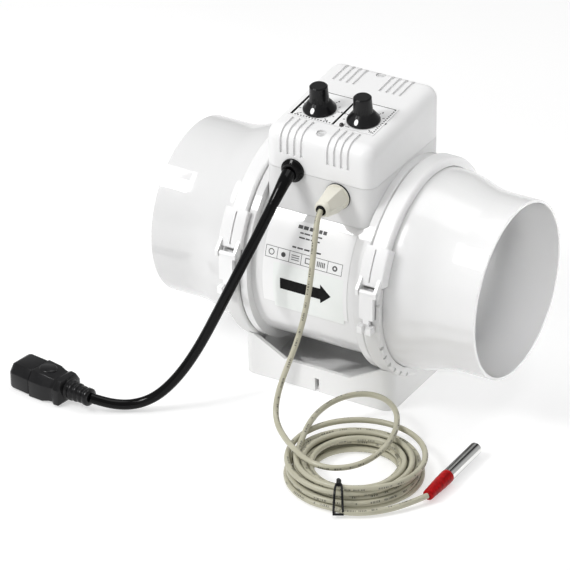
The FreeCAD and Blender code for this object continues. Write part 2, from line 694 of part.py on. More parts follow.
TILT = number("box_tilt")
TOP_NORMAL = Rotation(X_AXIS, TILT).multVec(Z_AXIS)
SCREW_SPOTS = [(number("screw_place"), number(line)) for line in ("screw_front", "screw_rear")]
LAMP_SPOT = (number("lamp_place"), number("lamp_line"))
KNOB_PLACES = [-number("knob_spacing") / 2, number("knob_spacing") / 2]
BOARD_LENGTH = number("box_length - 2 * (box_wall + board_gap)")
BOARD_FRONT = number("box_wall + board_front_gap - box_front")
BOARD_REAR = BOARD_FRONT + number("board_depth")
BOARD_BOTTOM = number("box_split + board_lift")
POST_SPOTS = [(side * (BOARD_LENGTH / 2 - number("post_inset")), line) for side in (-1, 1)
              for line in (BOARD_FRONT + number("post_inset"), BOARD_REAR - number("post_inset"))]
PANEL_RISE = 0.2
BUSHING_STEM = 2.4
GLAND_STEM = 5.5


def upright(radius, height, at, direction=Z_AXIS):
    return Part.makeCylinder(radius, height, at, direction)


def on_top(x, y, lift=0):
    """Point over the lid's sloping top, lifted along its normal."""
    rise = (y + number("box_front")) * math.tan(math.radians(TILT))
    return Vector(x, y, number("box_top") + rise) + TOP_NORMAL * lift


def facing_up(x, y):
    """Placement on the lid's sloping top, with its Z axis along the normal."""
    return Placement(on_top(x, y), Rotation(X_AXIS, TILT))


def bushing_bore():
    start = Vector(number("bushing_place"), -number("box_front") - 4, number("bushing_height"))
    return upright(number("mains_diameter") / 2 + BUSHING_STEM + 0.1, 12, start, Y_AXIS)


def gland_bore():
    start = Vector(number("gland_place"), -number("box_front") - 4, number("gland_height"))
    return upright(GLAND_STEM + 0.1, 12, start, Y_AXIS)


def box_block(inset, bottom):
    """Box with a sloping top, round front and rear top edges and round sides, as one solid."""
    front = -number("box_front") + inset
    rear = number("box_rear") - inset
    half = number("box_length") / 2 - inset
    front_top, rear_top = (on_top(0, y).z - inset / TOP_NORMAL.z for y in (front, rear))
    corners = [Vector(-half, front, bottom), Vector(-half, rear, bottom), Vector(-half, rear, rear_top),
               Vector(-half, front, front_top)]
    solid = Part.Face(Part.makePolygon(corners + corners[:1])).extrude(X_AXIS * 2 * half)

    def top_edge(y):
        return [edge for edge in solid.Edges if abs(edge.CenterOfMass.x) < 0.01
                and edge.CenterOfMass.z > bottom + 1 and abs(edge.CenterOfMass.y - y) < 0.01]

    def on_side(edge):
        spots = [vertex.Point for vertex in edge.Vertexes]
        level = all(abs(spot.z - bottom) < 0.01 for spot in spots)
        return not level and all(abs(abs(spot.x) - half) < 0.01 for spot in spots)

    solid = solid.makeFillet(max(number("lid_front_edge") - inset, 1), top_edge(front))
    solid = solid.makeFillet(max(number("lid_rear_edge") - inset, 1), top_edge(rear))
    sides = [edge for edge in solid.Edges if on_side(edge)]
    return solid.makeFillet(max(number("box_corner") - inset, 1), sides)


def make_box_base():
    """Lower half of the control box, saddled on the casing, with board posts and screw bosses."""
    split = number("box_split")
    axis = number("axis_height")
    casing = number("casing_radius")
    wall = number("box_wall")
    below = axis + 20
    far = Vector(-100, 0, axis)
    shell = box_block(0, below).cut(Part.makeBox(200, 200, 100, Vector(-100, -100, split)))
    shell = shell.cut(box_block(wall, below - 1).cut(upright(casing + wall, 200, far, X_AXIS)))
    for x, y in SCREW_SPOTS:
        shell = shell.fuse(upright(number("screw_boss"), split - below, Vector(x, y, below)))
    for x, y in POST_SPOTS:
        shell = shell.fuse(upright(number("post_radius"), BOARD_BOTTOM - below, Vector(x, y, below)))
    shell = shell.cut(upright(casing + 0.1, 200, far, X_AXIS))
    for side in (-1, 1):
        collar = Vector(side * number(COLLAR_IN), 0, axis)
        shell = shell.cut(upright(number("collar_radius") + 0.1, 40, collar, X_AXIS * side))
    for x, y in SCREW_SPOTS:
        shell = shell.cut(upright(number("screw_shank"), 12, Vector(x, y, split - 12)))
    wire_hole = Vector(number("wire_hole_place"), 0, axis + casing - 5)
    shell = shell.cut(upright(number("wire_hole_radius"), 20, wire_hole))
    shell = shell.cut(bushing_bore()).cut(gland_bore())
    node("box_base", feature("BoxBase", shell.removeSplitter()))


def louvre_places():
    middle, first, pitch = number("louvre_middle"), number("louvre_offset"), number("louvre_pitch")
    return [middle + side * (first + pitch * step) for side in (-1, 1) for step in range(4)]


def cut_controls(solid):
    """Holes for the two potentiometers and the lamp."""
    for x in KNOB_PLACES:
        start = on_top(x, number("knob_line"), -10)
        solid = solid.cut(upright(number("knob_hole"), 20, start, TOP_NORMAL))
    return solid.cut(upright(number("lamp_radius") + 0.1, 20, on_top(*LAMP_SPOT, -10), TOP_NORMAL))


def make_lid():
    """Upper half of the control box with its louvre grooves, and the dial panel set into its top."""
    wall = number("box_wall")
    bottom = number("box_split + box_seam")
    lid = box_block(0, bottom).cut(box_block(wall, bottom - 5))
    for x, y in SCREW_SPOTS:
        boss = upright(number("screw_boss"), 60, Vector(x, y, bottom))
        lid = lid.fuse(boss.common(box_block(0.5, bottom)))
    for x, y in SCREW_SPOTS:
        lid = lid.cut(upright(number("screw_shank") + 0.5, 60, Vector(x, y, bottom - 1)))
        lid = lid.cut(upright(number("screw_head") + 0.4, 30, on_top(x, y, -number("screw_sink") - 1.2)))
    width = number("louvre_width")
    front_start, rear_start = -number("box_front") - 5, number("box_rear") - 26
    louvres = []
    for x in louvre_places():
        louvres.append(Part.makeBox(width, 22.5, 40, Vector(x - width / 2, front_start, bottom + 11.3)))
        louvres.append(Part.makeBox(width, 30, 40, Vector(x - width / 2, rear_start, bottom + 23.8)))
    lid = lid.cut(Part.makeCompound(louvres).cut(box_block(number("louvre_depth"), bottom - 5)))
    length, depth, thick = number("panel_length"), number("panel_depth"), number("panel_thickness")
    turned = facing_up(number("panel_middle"), number("panel_centre"))
    recess = Part.makeBox(length + 0.4, depth + 0.4, 20,
                          Vector(-length / 2 - 0.2, -depth / 2 - 0.2, PANEL_RISE - thick))
    recess.Placement = turned
    node("box_lid", feature("BoxLid", cut_controls(lid.cut(recess)).cut(bushing_bore()).removeSplitter()))
    panel = Part.makeBox(length, depth, thick, Vector(-length / 2, -depth / 2, PANEL_RISE - thick))
    panel.Placement = turned
    node("dial_panel", feature("DialPanel", cut_controls(panel)))


def make_controls():
    """Knobs, potentiometers with their spindles, and the indicator lamp, on the lid's sloping top."""
    skirt, cap = number("knob_skirt"), number("knob_cap")
    skirt_height, height = number("knob_skirt_height"), number("knob_height")
    bottom = PANEL_RISE + number("knob_gap")
    spindle = number("spindle_radius")
    inside = -number("panel_thickness") - number("box_wall")
    profile = [(spindle, 3), (spindle, height - 3), (0, height - 3), (0, height), (cap - 1.4, height),
               (cap - 0.5, height - 0.8), (cap, skirt_height + 1.5), (skirt - 3, skirt_height),
               (skirt - 0.4, 1.6), (skirt, 0.8), (skirt, 0), (skirt - 2, 0), (skirt - 2.6, 2.2),
               (spindle + 1.6, 3)]
    points = [Vector(radius, 0, bottom + up) for radius, up in profile]
    knob = Part.Face(Part.makePolygon(points + points[:1])).revolve(Vector(), Z_AXIS, 360)
    flutes = 18
    for turn in range(flutes):
        groove = upright(0.45, height, Vector(cap + 0.15, 0, bottom + skirt_height + 2))
        groove.rotate(Vector(), Z_AXIS, 360 * turn / flutes)
        knob = knob.cut(groove)
    shaft = upright(spindle, height - 3 + bottom - inside + 2, Vector(0, 0, inside - 2))
    case = upright(8, 8.5, Vector(0, 0, inside - 8.6))
    thread = upright(number("knob_hole") - 0.2, -inside + 1.4, Vector(0, 0, inside - 0.2))
    nut = upright(5, 1.2, Vector(0, 0, PANEL_RISE))
    bore = upright(spindle + 0.06, 20, Vector(0, 0, inside - 2.1))
    potentiometer = case.fuse(thread).fuse(nut).cut(bore)
    for name, x in zip(("temperature", "speed"), KNOB_PLACES):
        place = facing_up(x, number("knob_line"))
        for role, shape in (("knob", knob), ("spindle", shaft), ("potentiometer", potentiometer)):
            node(f"{name}_{role}", feature(f"{name.title()}{role.title()}", shape.copy(), place))
    radius = number("lamp_radius")
    lamp = upright(radius, 6, Vector(0, 0, -5.2)).fuse(Part.makeSphere(radius, Vector(0, 0, 0.8)))
    node("indicator_lamp", feature("IndicatorLamp", lamp, facing_up(*LAMP_SPOT)))


def make_board():
    thick, half = number("board_thickness"), BOARD_LENGTH / 2
    corner = Vector(-half, BOARD_FRONT, BOARD_BOTTOM)
    board = Part.makeBox(BOARD_LENGTH, number("board_depth"), thick, corner)
    top = BOARD_BOTTOM + thick
    heads = []
    for x, y in POST_SPOTS:
        board = board.cut(upright(1.6, 5, Vector(x, y, BOARD_BOTTOM - 1)))
        heads.append(upright(2.8, 1.8, Vector(x, y, top)))
    node("circuit_board", feature("CircuitBoard", board))
    node("board_screws", feature("BoardScrews", Part.makeCompound(heads)))
    terminals = Part.makeBox(30, 10, 11, Vector(-18, BOARD_REAR - 13, top))
    for step in range(5):
        x = -15 + 6 * step
        terminals = terminals.cut(upright(1.9, 4, Vector(x, BOARD_REAR - 8, top + 8)))
        terminals = terminals.cut(Part.makeBox(3.6, 4, 4.5, Vector(x - 1.8, BOARD_REAR - 5, top + 1.5)))
    node("terminal_block", feature("TerminalBlock", terminals))
    capacitor = Part.makeBox(12, 26, 17, Vector(half - 15, BOARD_REAR - 35, top))
    node("run_capacitor", feature("RunCapacitor", capacitor.makeFillet(1.5, capacitor.Edges)))
    sink = Part.makeBox(20, 2, 16, Vector(2 - half, BOARD_REAR - 28, top))
    package = Part.makeBox(10, 4.4, 15, Vector(7 - half, BOARD_REAR - 32.4, top))
    node("triac", feature("Triac", sink.fuse(package)))


def make_lid_screws():
    end = number("box_split - screw_depth")
    screws = []
    for x, y in SCREW_SPOTS:
        seat = on_top(x, y, -number("screw_sink") - 1.2)
        head = upright(number("screw_head"), 2.1, seat)
        head = head.cut(Part.makeBox(4.6, 0.8, 2, seat + Vector(-2.3, -0.4, 1.2)))
        shank = upright(number("screw_shank"), seat.z - end, Vector(x, y, end))
        screws.append(head.fuse(shank))
    node("lid_screws", feature("LidScrews", Part.makeCompound(screws)))


# ---------------------------------------------------------------- motor, impeller and guide vanes

MOTOR_END = "motor_start + motor_length"
CAVITY = "motor_radius - motor_wall"
BEARING_BORE = "shaft_radius + 0.03"
STACK_START = "motor_start + motor_length / 2 - stack_length / 2"
STACK_END = f"{STACK_START} + stack_length"
IMPELLER_END = "motor_start - impeller_gap"
IMPELLER_START = f"{IMPELLER_END} - impeller_length"


def make_motor():
    start, end = "motor_start", MOTOR_END
    shell = [(start, "bearing_radius"), (start, "motor_radius - 3"), (f"{start} + 3", "motor_radius"),
             (f"{end} - 8", "motor_radius"), (end, "motor_radius - 6"), (end, "bearing_radius"),
             (f"{end} - bearing_width", "bearing_radius"), (f"{end} - bearing_width", f"{CAVITY} - 4"),
             (f"{end} - bearing_width - 4", CAVITY), (f"{start} + bearing_width", CAVITY),
             (f"{start} + bearing_width", "bearing_radius")]
    node("motor_housing", ring("MotorHousing", shell))
    for name, place in (("front_bearing", start), ("rear_bearing", f"{end} - bearing_width")):
        corners = [(place, BEARING_BORE), (f"{place} + bearing_width", BEARING_BORE),
                   (f"{place} + bearing_width", "bearing_radius"), (place, "bearing_radius")]
        node(name, ring(name.title().replace("_", ""), corners))
    stack_bore = "rotor_radius + air_gap"
    stator = ring("StatorCore", [(STACK_START, stack_bore), (STACK_END, stack_bore), (STACK_END, CAVITY),
                                 (STACK_START, CAVITY)])
    node("stator_core", stator)
    low, high = f"{STACK_START} - 3.5", f"{STACK_END} + 3.5"
    front = ring("FrontWinding", [(low, f"{stack_bore} + 2"), (STACK_START, f"{stack_bore} + 1"),
                                  (STACK_START, f"{CAVITY} - 3"), (low, f"{CAVITY} - 5")])
    rear = ring("RearWinding", [(STACK_END, f"{stack_bore} + 1"), (high, f"{stack_bore} + 2"),
                                (high, f"{CAVITY} - 7"), (STACK_END, f"{CAVITY} - 4")])
    windings = doc.addObject("Part::Compound", "StatorWindings")
    windings.Links = [front, rear]
    node("stator_windings", windings)
    node("rotor_core", ring("RotorCore", [(STACK_START, "shaft_radius"), (STACK_END, "shaft_radius"),
                                          (STACK_END, "rotor_radius"), (STACK_START, "rotor_radius")]))
    shaft_start = f"{IMPELLER_START} + 2"
    node("motor_shaft", rod("MotorShaft", "shaft_radius", f"{MOTOR_END} - 1 - ({shaft_start})",
                            (shaft_start, "0", "axis_height"), ALONG_X))


def curved_plate(start, end, camber, thickness, inner, outer):
    """Radial plate above the axis whose mid line bends sideways by the camber towards its start. It
    reaches past both radii."""
    root = inner - 8
    steps = 6
    line = []
    for step in range(steps + 1):
        share = step / steps
        line.append(Vector(start + (end - start) * share, camber * (1 - share) ** 2, 0))
    side = Vector(0, thickness / 2, 0)
    left = Part.BSplineCurve()
    left.interpolate([point + side for point in line])
    right = Part.BSplineCurve()
    right.interpolate([point - side for point in line])
    edges = [left.toShape(), Part.makeLine(line[-1] + side, line[-1] - side), right.toShape(),
             Part.makeLine(line[0] - side, line[0] + side)]
    face = Part.Face(Part.Wire(Part.__sortEdges__(edges)))
    plate = face.extrude(Z_AXIS * (outer + 5 - root))
    plate.translate(Vector(0, 0, root))
    return plate


def on_axis(turn=0):
    """Placement at the middle of the duct, turned about its axis."""
    return Placement(Vector(0, 0, number("axis_height")), Rotation(X_AXIS, turn))


def tube_of(inner, outer, start, end):
    near = Vector(start, 0, 0)
    return upright(outer, end - start, near, X_AXIS).cut(upright(inner, end - start, near, X_AXIS))


def make_guide_vanes():
    start = number("motor_start + 4")
    end = start + number("vane_length")
    inner, outer = number("motor_radius"), number(BORE)
    camber = number("vane_camber")
    plate = curved_plate(start, end, camber, number("vane_thickness"), inner, outer)
    vane = plate.common(tube_of(inner, outer, start - camber, end + camber))
    count = int(number("vane_count"))
    for index in range(count):
        turned = on_axis(360 / count * (index + 0.5))
        node(f"guide_vane_{index + 1}", feature(f"GuideVane{index + 1}", vane.copy(), turned))


def make_impeller():
    start, end = number(IMPELLER_START), number(IMPELLER_END)
    inlet, outlet = number("hub_inlet_radius"), number("hub_outlet_radius")
    shaft = number("shaft_radius")
    profile = [(start - 6, 0), (start - 4, 8), (start, inlet - 5), (start + 3, inlet), (end, outlet),
               (end, outlet - 3), (start + 6, inlet - 3), (start + 6, 6), (end - 2, 6), (end - 2, shaft),
               (start + 2, shaft), (start + 2, 0)]
    points = [Vector(place, 0, radius) for place, radius in profile]
    hub = Part.Face(Part.makePolygon(points + points[:1])).revolve(Vector(), X_AXIS, 360)
    radius = number("impeller_radius")
    plate = curved_plate(start + 3, end - 1, number("blade_camber"), number("blade_thickness"), inlet, radius)
    tip = upright(radius, 100, Vector(-50, 0, 0), X_AXIS)
    core = Part.makeCone(inlet - 1.5, outlet - 1.5, end - start - 3, Vector(start + 3, 0, 0), X_AXIS)
    blade = plate.common(tip).cut(core)
    count = int(number("blade_count"))
    blades = []
    for index in range(count):
        copy = blade.copy()
        copy.rotate(Vector(), X_AXIS, 360 / count * index)
        blades.append(copy)
    impeller = hub.fuse(blades).cut(upright(shaft, 40, Vector(start + 2, 0, 0), X_AXIS))
    node("impeller", feature("Impeller", impeller, on_axis()))


# ---------------------------------------------------------------- label, bushing and gland

def make_label():
    """Label wrapped on the front of the casing, and the flow arrow printed on it."""
    inner = "casing_radius + label_glue"
    outer = f"{inner} + label_thickness"
    half = "label_length / 2"
    label = ring("RatingLabel", [(f"-{half}", inner), (half, inner), (half, outer), (f"-{half}", outer)],
                 "label_sweep", "-label_turn")
    node("rating_label", label)
    tail, neck, tip, narrow, wide = -18.5, 12, 20, 4, 7
    corners = ((tail, narrow), (neck, narrow), (neck, wide), (tip, 0), (neck, -wide), (neck, -narrow),
               (tail, -narrow))
    points = [Vector(x, 0, z) for x, z in corners]
    prism = Part.Face(Part.makePolygon(points + points[:1])).extrude(Y_AXIS * -100)
    radius = number(outer)
    node("flow_arrow", feature("FlowArrow", prism.common(tube_of(radius, radius + 0.15, -40, 40)), on_axis()))


def make_bushing():
    place = Vector(number("bushing_place"), -number("box_front"), number("bushing_height"))
    cord, radius, reach = number("mains_diameter") / 2, number("bushing_radius"), number("bushing_reach")
    stem = cord + BUSHING_STEM
    profile = [(cord, reach), (stem - 0.4, reach), (stem, reach - 2), (radius - 1.6, reach - 2.8),
               (radius, reach - 4), (radius, 0.1), (stem, 0.1), (stem, -4), (cord, -4)]
    points = [Vector(across, 0, up) for across, up in profile]
    solid = Part.Face(Part.makePolygon(points + points[:1])).revolve(Vector(), Z_AXIS, 360)
    node("mains_bushing", feature("MainsBushing", solid, Placement(place, TO_THE_FRONT)))


def hex_loft(levels):
    """Six-sided tapering solid: pairs of height and distance from the middle to a corner."""
    wires = []
    for up, radius in levels:
        turns = [math.radians(60 * corner) for corner in range(6)]
        corners = [Vector(radius * math.cos(turn), radius * math.sin(turn), up) for turn in turns]
        wires.append(Part.makePolygon(corners + corners[:1]))
    return Part.makeLoft(wires, True, True)


def make_gland():
    """Sensor gland with its washer against the box and the seal around the cable."""
    place = Vector(number("gland_place"), -number("box_front"), number("gland_height"))
    facing = Placement(place, TO_THE_FRONT)
    radius, tip, length = number("gland_radius"), number("gland_tip_radius"), number("gland_length")
    cable, seal_radius = number("sensor_diameter") / 2, 3.5
    washer = upright(radius + 0.4, 1.1, Vector(0, 0, 0.05)).cut(upright(GLAND_STEM, 3, Vector(0, 0, -1)))
    node("gland_washer", feature("GlandWasher", washer, facing))
    rim = length - 3
    nut = hex_loft([(1.2, radius), (8, radius), (rim, tip + 1)])
    nut = nut.fuse(Part.makeCone(tip + 0.6, tip - 0.8, 3, Vector(0, 0, rim), Z_AXIS))
    nut = nut.fuse(upright(GLAND_STEM, 8, Vector(0, 0, -6.5)))
    nut = nut.cut(upright(seal_radius + 0.1, 60, Vector(0, 0, -20)))
    node("sensor_gland", feature("SensorGland", nut, facing))
    seal = upright(seal_radius, 12, Vector(0, 0, length - 11.4)).cut(upright(cable, 60, Vector(0, 0, -20)))
    node("gland_seal", feature("GlandSeal", seal, facing))


# ---------------------------------------------------------------- cords, coil, plug and probe

MAINS_ROUTE = [(-18, -56.5, 163.6), (-17.7, -62.5, 161), (-18.1, -69.5, 155.4), (-20.2, -77.5, 145.6),
               (-25, -85.5, 129.6), (-31.6, -92.7, 111.2), (-39, -98.8, 91.6), (-46.8, -104, 71.8),
               (-54, -108.8, 54), (-60.6, -113.4, 39.8), (-67, -117.6, 28.4), (-73.8, -121.6, 18.8),
               (-81, -125.6, 11.2), (-89, -129.8, 6.2), (-97.5, -134.6, 4.1), (-105.2, -139.4, 4.9),
               (-112.4, -143.8, 7.2), (-119.6, -146.6, 9.3)]
SENSOR_ROUTE = [(15.6, -73.2, 153), (16.1, -78, 150.4), (17.6, -83.2, 143.2), (20.2, -91.3, 129),
                (22, -98.8, 112), (22.2, -105.5, 94.6), (19.7, -110.8, 76.8), (14.8, -114.2, 59.4),
                (10.2, -116.8, 44), (8, -119.6, 30.4), (10.8, -125.4, 22.4), (17.8, -132.6, 18.9),
                (28.6, -141.4, 18), (41.6, -150.2, 17.8), (55.2, -157, 17.7), (70.4, -156.8, 17.7),
                (82.6, -146.6, 17.7), (88.2, -130, 17.7), (87.8, -109.6, 17.7), (82, -88.6, 17.7),
                (71, -70.8, 17.7), (55.6, -61.6, 17.7), (40, -65, 17.7), (30.6, -79.6, 17.7),
                (27.8, -98.2, 17.7), (30, -116.6, 17.2), (36, -133.6, 15.9)]
PLUG_SLOTS = [(-7, -2.2), (0, 2.2), (7, -2.2)]
TAIL_ROUTE = [(91.5, -178.4, 3), (103.4, -172.2, 2.6), (114.6, -161.6, 2.7), (123.8, -149.2, 3.7),
              (130.4, -136.4, 4.75)]


def cord_path(points):
    """Straight runs joined by tangent arcs, each as large as its two runs allow."""
    points = [Vector(*point) for point in points]
    edges = []
    radii = []
    start = points[0]
    for before, corner, after in zip(points, points[1:], points[2:]):
        back = (before - corner).normalize()
        ahead = (after - corner).normalize()
        turn = math.pi - back.getAngle(ahead)
        reach = 0.45 * min((before - corner).Length, (after - corner).Length)
        radii.append(reach / math.tan(turn / 2))
        first = corner + back * reach
        last = corner + ahead * reach
        inward = (back + ahead).normalize()
        depth = radii[-1] / math.cos(turn / 2) - radii[-1]
        edges.append(Part.makeLine(start, first))
        edges.append(Part.Arc(first, corner + inward * depth, last).toShape())
        start = last
    edges.append(Part.makeLine(start, points[-1]))
    return Part.Wire(edges), radii


def cord_tube(route, diameter, name):
    wire, radii = cord_path(route)
    start = Vector(*route[0])
    heading = (Vector(*route[1]) - start).normalize()
    section = Part.Wire(Part.makeCircle(diameter / 2, start, heading))
    tube = wire.makePipeShell([section], True, False)
    area = math.pi * diameter ** 2 / 4
    print(f"{name}: length {wire.Length:.1f}, volume ratio {tube.Volume / area / wire.Length:.4f}, "
          f"radii {min(radii):.1f} to {max(radii):.1f}")
    return tube


def make_cords():
    node("mains_cord", feature("MainsCord", cord_tube(MAINS_ROUTE, number("mains_diameter"), "mains cord")))
    thin = number("sensor_diameter")
    node("sensor_lead", feature("SensorLead", cord_tube(SENSOR_ROUTE, thin, "sensor lead")))
    node("sensor_tail", feature("SensorTail", cord_tube(TAIL_ROUTE, thin, "sensor tail")))


def make_coil():
    """Outer shape of the wound sensor lead, lying flat on the ground, and its wire tie."""
    inner, outer, height = number("coil_inner"), number("coil_outer"), number("coil_height")
    middle = Vector(number("coil_place_x"), number("coil_place_y"), 0)
    bundle = upright(outer, height, Vector()).cut(upright(inner, height, Vector()))
    bundle = bundle.makeFillet(5, [edge for edge in bundle.Edges if isinstance(edge.Curve, Part.Circle)])
    node("sensor_coil", feature("SensorCoil", bundle, Placement(middle, Rotation())))
    wire, width = number("tie_wire"), number("tie_width")
    around = Part.makeBox(outer - inner + 2 * wire, width, height + wire, Vector(inner - wire, -width / 2, 0))
    turned = Rotation(Z_AXIS, number("tie_turn"))
    node("coil_tie", feature("CoilTie", around.cut(bundle), Placement(middle, turned)))


def make_probe():
    """Heat-shrink sleeve and steel tip that lie on the ground behind the end of the lead."""
    start = Vector(*TAIL_ROUTE[-1])
    shrink, reach = number("shrink_radius"), number("shrink_length")
    taper = 12
    sleeve = Part.makeCone(number("sensor_diameter") / 2 + 1.1, shrink, taper, start, Y_AXIS)
    sleeve = sleeve.fuse(upright(shrink, reach - taper, start + Y_AXIS * taper, Y_AXIS))
    node("heat_shrink", feature("HeatShrink", sleeve.removeSplitter()))
    tip = upright(number("probe_radius"), number("probe_length"), start + Y_AXIS * reach, Y_AXIS)
    rim = [edge for edge in tip.Edges if edge.CenterOfMass.y > start.y + reach + 10
           and isinstance(edge.Curve, Part.Circle)]
    node("probe_tip", feature("ProbeTip", tip.makeFillet(0.8, rim)))


def plug_section(place, width, height, chamfer):
    """Outline of the connector across its length: a block with two bevelled upper corners."""
    half, top = width / 2, height / 2
    corners = [(-half, -top), (half, -top), (half, top - chamfer), (half - chamfer, top),
               (chamfer - half, top), (-half, top - chamfer)]
    points = [Vector(place, y, z) for y, z in corners]
    return Part.makePolygon(points + points[:1])


def make_plug():
    """Appliance connector at the end of the mains cord, with its ribbed boot, lying flat on the ground."""
    turned = Placement(Vector(*MAINS_ROUTE[-1]), Rotation(Z_AXIS, number("plug_turn")))
    length, width, height = number("plug_length"), number("plug_width"), number("plug_height")
    nose, boot_length, grip = number("plug_nose"), number("plug_boot"), 2 * number("plug_grip")
    cord = number("mains_diameter") / 2
    boot = Part.makeCone(cord + 2.4, cord + 4.4, boot_length, Vector(), X_AXIS)
    pitch, groove = boot_length / 5, 1.6
    for step in range(4):
        place = Vector(pitch * (step + 0.7), 0, 0)
        core = upright(cord + 1.2 + 0.4 * step, groove, place, X_AXIS)
        boot = boot.cut(upright(12, groove, place, X_AXIS).cut(core))
    node("plug_boot", feature("PlugBoot", boot, turned))
    shoulder, step = boot_length + 5, length - nose
    sections = [plug_section(boot_length, 17, 15, 4),
                plug_section(shoulder, width + grip, height + grip, 5.5),
                plug_section(step, width + grip, height + grip, 5.5)]
    ends = [plug_section(place, width, height, 5) for place in (step, length)]
    plug = Part.makeLoft(sections, True, True).fuse(Part.makeLoft(ends, True, True))
    for y, z in PLUG_SLOTS:
        plug = plug.cut(Part.makeBox(12, 2.2, 5, Vector(length - 12, y - 1.1, z - 2.5)))
    node("plug_body", feature("PlugBody", plug.removeSplitter(), turned))


def write_parts():
    doc.recompute()
    for item in doc.Objects:
        if "Invalid" in item.State or "Error" in item.State:
            raise RuntimeError(f"{item.Name} ({item.Label}) did not recompute: {item.State}")
    os.makedirs("parts", exist_ok=True)
    for label, item in nodes.items():
        shape = item.Shape
        if shape.isNull() or not shape.isValid() or not shape.Solids:
            raise RuntimeError(f"{label} has no valid solid")
        shape.exportStep(f"parts/{label}.step")
    print(f"{len(nodes)} parts written")


make_casing()
make_spigots()
make_seals()
make_bands()
make_latches()
make_base()
make_box_base()
make_lid()
make_controls()
make_board()
make_lid_screws()
make_motor()
make_guide_vanes()
make_impeller()
make_label()
make_bushing()
make_gland()
make_cords()
make_coil()
make_probe()
make_plug()
sheet.clear("E1")
write_parts()
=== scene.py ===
import math
import random
import bmesh
import bpy
from mathutils import Matrix, Vector


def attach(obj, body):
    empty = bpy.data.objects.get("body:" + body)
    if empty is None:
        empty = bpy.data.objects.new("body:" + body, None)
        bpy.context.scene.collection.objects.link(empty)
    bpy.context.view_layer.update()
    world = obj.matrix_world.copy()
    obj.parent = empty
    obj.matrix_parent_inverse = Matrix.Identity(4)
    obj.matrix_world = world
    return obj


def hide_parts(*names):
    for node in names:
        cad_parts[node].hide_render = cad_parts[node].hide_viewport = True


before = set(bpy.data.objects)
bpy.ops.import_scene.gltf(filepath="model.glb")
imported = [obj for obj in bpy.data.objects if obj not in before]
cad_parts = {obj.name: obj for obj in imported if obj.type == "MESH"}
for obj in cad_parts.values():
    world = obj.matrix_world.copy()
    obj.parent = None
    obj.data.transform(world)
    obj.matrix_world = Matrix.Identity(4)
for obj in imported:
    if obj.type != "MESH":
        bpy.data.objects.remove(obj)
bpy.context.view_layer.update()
print("frame loaded")

axisZ = 0.087  # duct axis above the base


# camera, floor and lights
cameraLook = {"azimuth": 29.39, "elevation": 29.22, "distance": 3.0, "lens": 282.4, "turn": (0.898, 0.505)}
# lamps: place and size in metres, power in watts; the flat ones all face the middle of the duct
lightLook = {
    "key": {"at": (-0.54, -0.76, 0.93), "size": (0.28, 0.28), "power": 5.6},
    "front": {"at": (-0.3, -1.7, 0.6), "size": (1.2, 0.8), "power": 1.0},
    "windowLeft": {"at": (-0.74, -0.63, 1.02), "size": (0.12, 0.5), "power": 1.4},
    "windowRight": {"at": (-0.335, -0.65, 1.05), "size": (0.11, 0.5), "power": 1.0},
    "top": {"at": (0.07, 0.25, 1.39), "size": (1.1, 0.9), "power": 6.0},
    "left": {"at": (-1.35, -0.5, 0.56), "size": (0.9, 0.9), "power": 0.4},
    "right": {"at": (1.2, -0.85, 0.45), "size": (0.5, 0.7), "power": 0.4},
}
spotLook = {
    "mouthSpot": {"at": (0.85, -0.34, 0.4), "aim": (0.126, 0.035, 0.092), "cone": 8.2, "blend": 0.6,
                  "power": 72, "radius": 0.1},
    "baseSpot": {"at": (-0.46, -0.80, 0.76), "aim": (-0.004, -0.03, 0.004), "cone": 4, "blend": 0.6,
                 "power": 34, "radius": 0.035},
}
worldLook = {"tint": (1, 1, 1), "strength": 0.41}


def linked(name, data):
    holder = bpy.data.objects.new(name, data)
    bpy.context.scene.collection.objects.link(holder)
    return holder


def viewFrom(azimuth, elevation):
    side, up = math.radians(azimuth), math.radians(elevation)
    return Vector((math.sin(side) * math.cos(up), -math.cos(side) * math.cos(up), math.sin(up)))


def makeCamera():
    back = viewFrom(cameraLook["azimuth"], cameraLook["elevation"])
    right = Vector((0, 0, 1)).cross(back).normalized()
    up = back.cross(right)
    data = bpy.data.cameras.new("camera")
    data.lens = cameraLook["lens"]
    data.clip_start, data.clip_end = 0.1, 30
    camera = linked("camera", data)
    camera.location = Vector((0, 0, axisZ)) + back * cameraLook["distance"]
    turnRight, turnUp = (math.radians(angle) for angle in cameraLook["turn"])
    basis = Matrix((right, up, back)).transposed()
    basis = basis @ Matrix.Rotation(turnRight, 3, "Y") @ Matrix.Rotation(-turnUp, 3, "X")
    camera.rotation_euler = basis.to_euler()
    bpy.context.scene.camera = camera


def addLamp(name, kind, look):
    data = bpy.data.lights.new(name, kind)
    data.energy = look["power"]
    lamp = linked(name, data)
    lamp.location = look["at"]
    return lamp


def makeLights():
    for name, look in lightLook.items():
        lamp = addLamp(name, "AREA", look)
        lamp.data.shape = "RECTANGLE"
        lamp.data.size, lamp.data.size_y = look["size"]
        away = (lamp.location - Vector((0, 0, axisZ))).normalized()
        across = Vector((1, 0, 0))  # the lamp's width stays level, along the duct
        up = away.cross(across).normalized()
        lamp.rotation_euler = Matrix((up.cross(away), up, away)).transposed().to_euler()
    for name, look in spotLook.items():
        lamp = addLamp(name, "SPOT", look)
        lamp.data.shadow_soft_size = look["radius"]
        lamp.data.spot_size, lamp.data.spot_blend = math.radians(look["cone"]), look["blend"]
        lamp.rotation_euler = (Vector(look["aim"]) - lamp.location).to_track_quat("-Z", "Y").to_euler()


def makeWorld():
    world = bpy.data.worlds.new("studio")
    world.use_nodes = True
    background = world.node_tree.nodes["Background"]
    background.inputs["Color"].default_value = (*worldLook["tint"], 1)
    background.inputs["Strength"].default_value = worldLook["strength"]
    bpy.context.scene.world = world
    bpy.context.scene.view_settings.view_transform = "Standard"


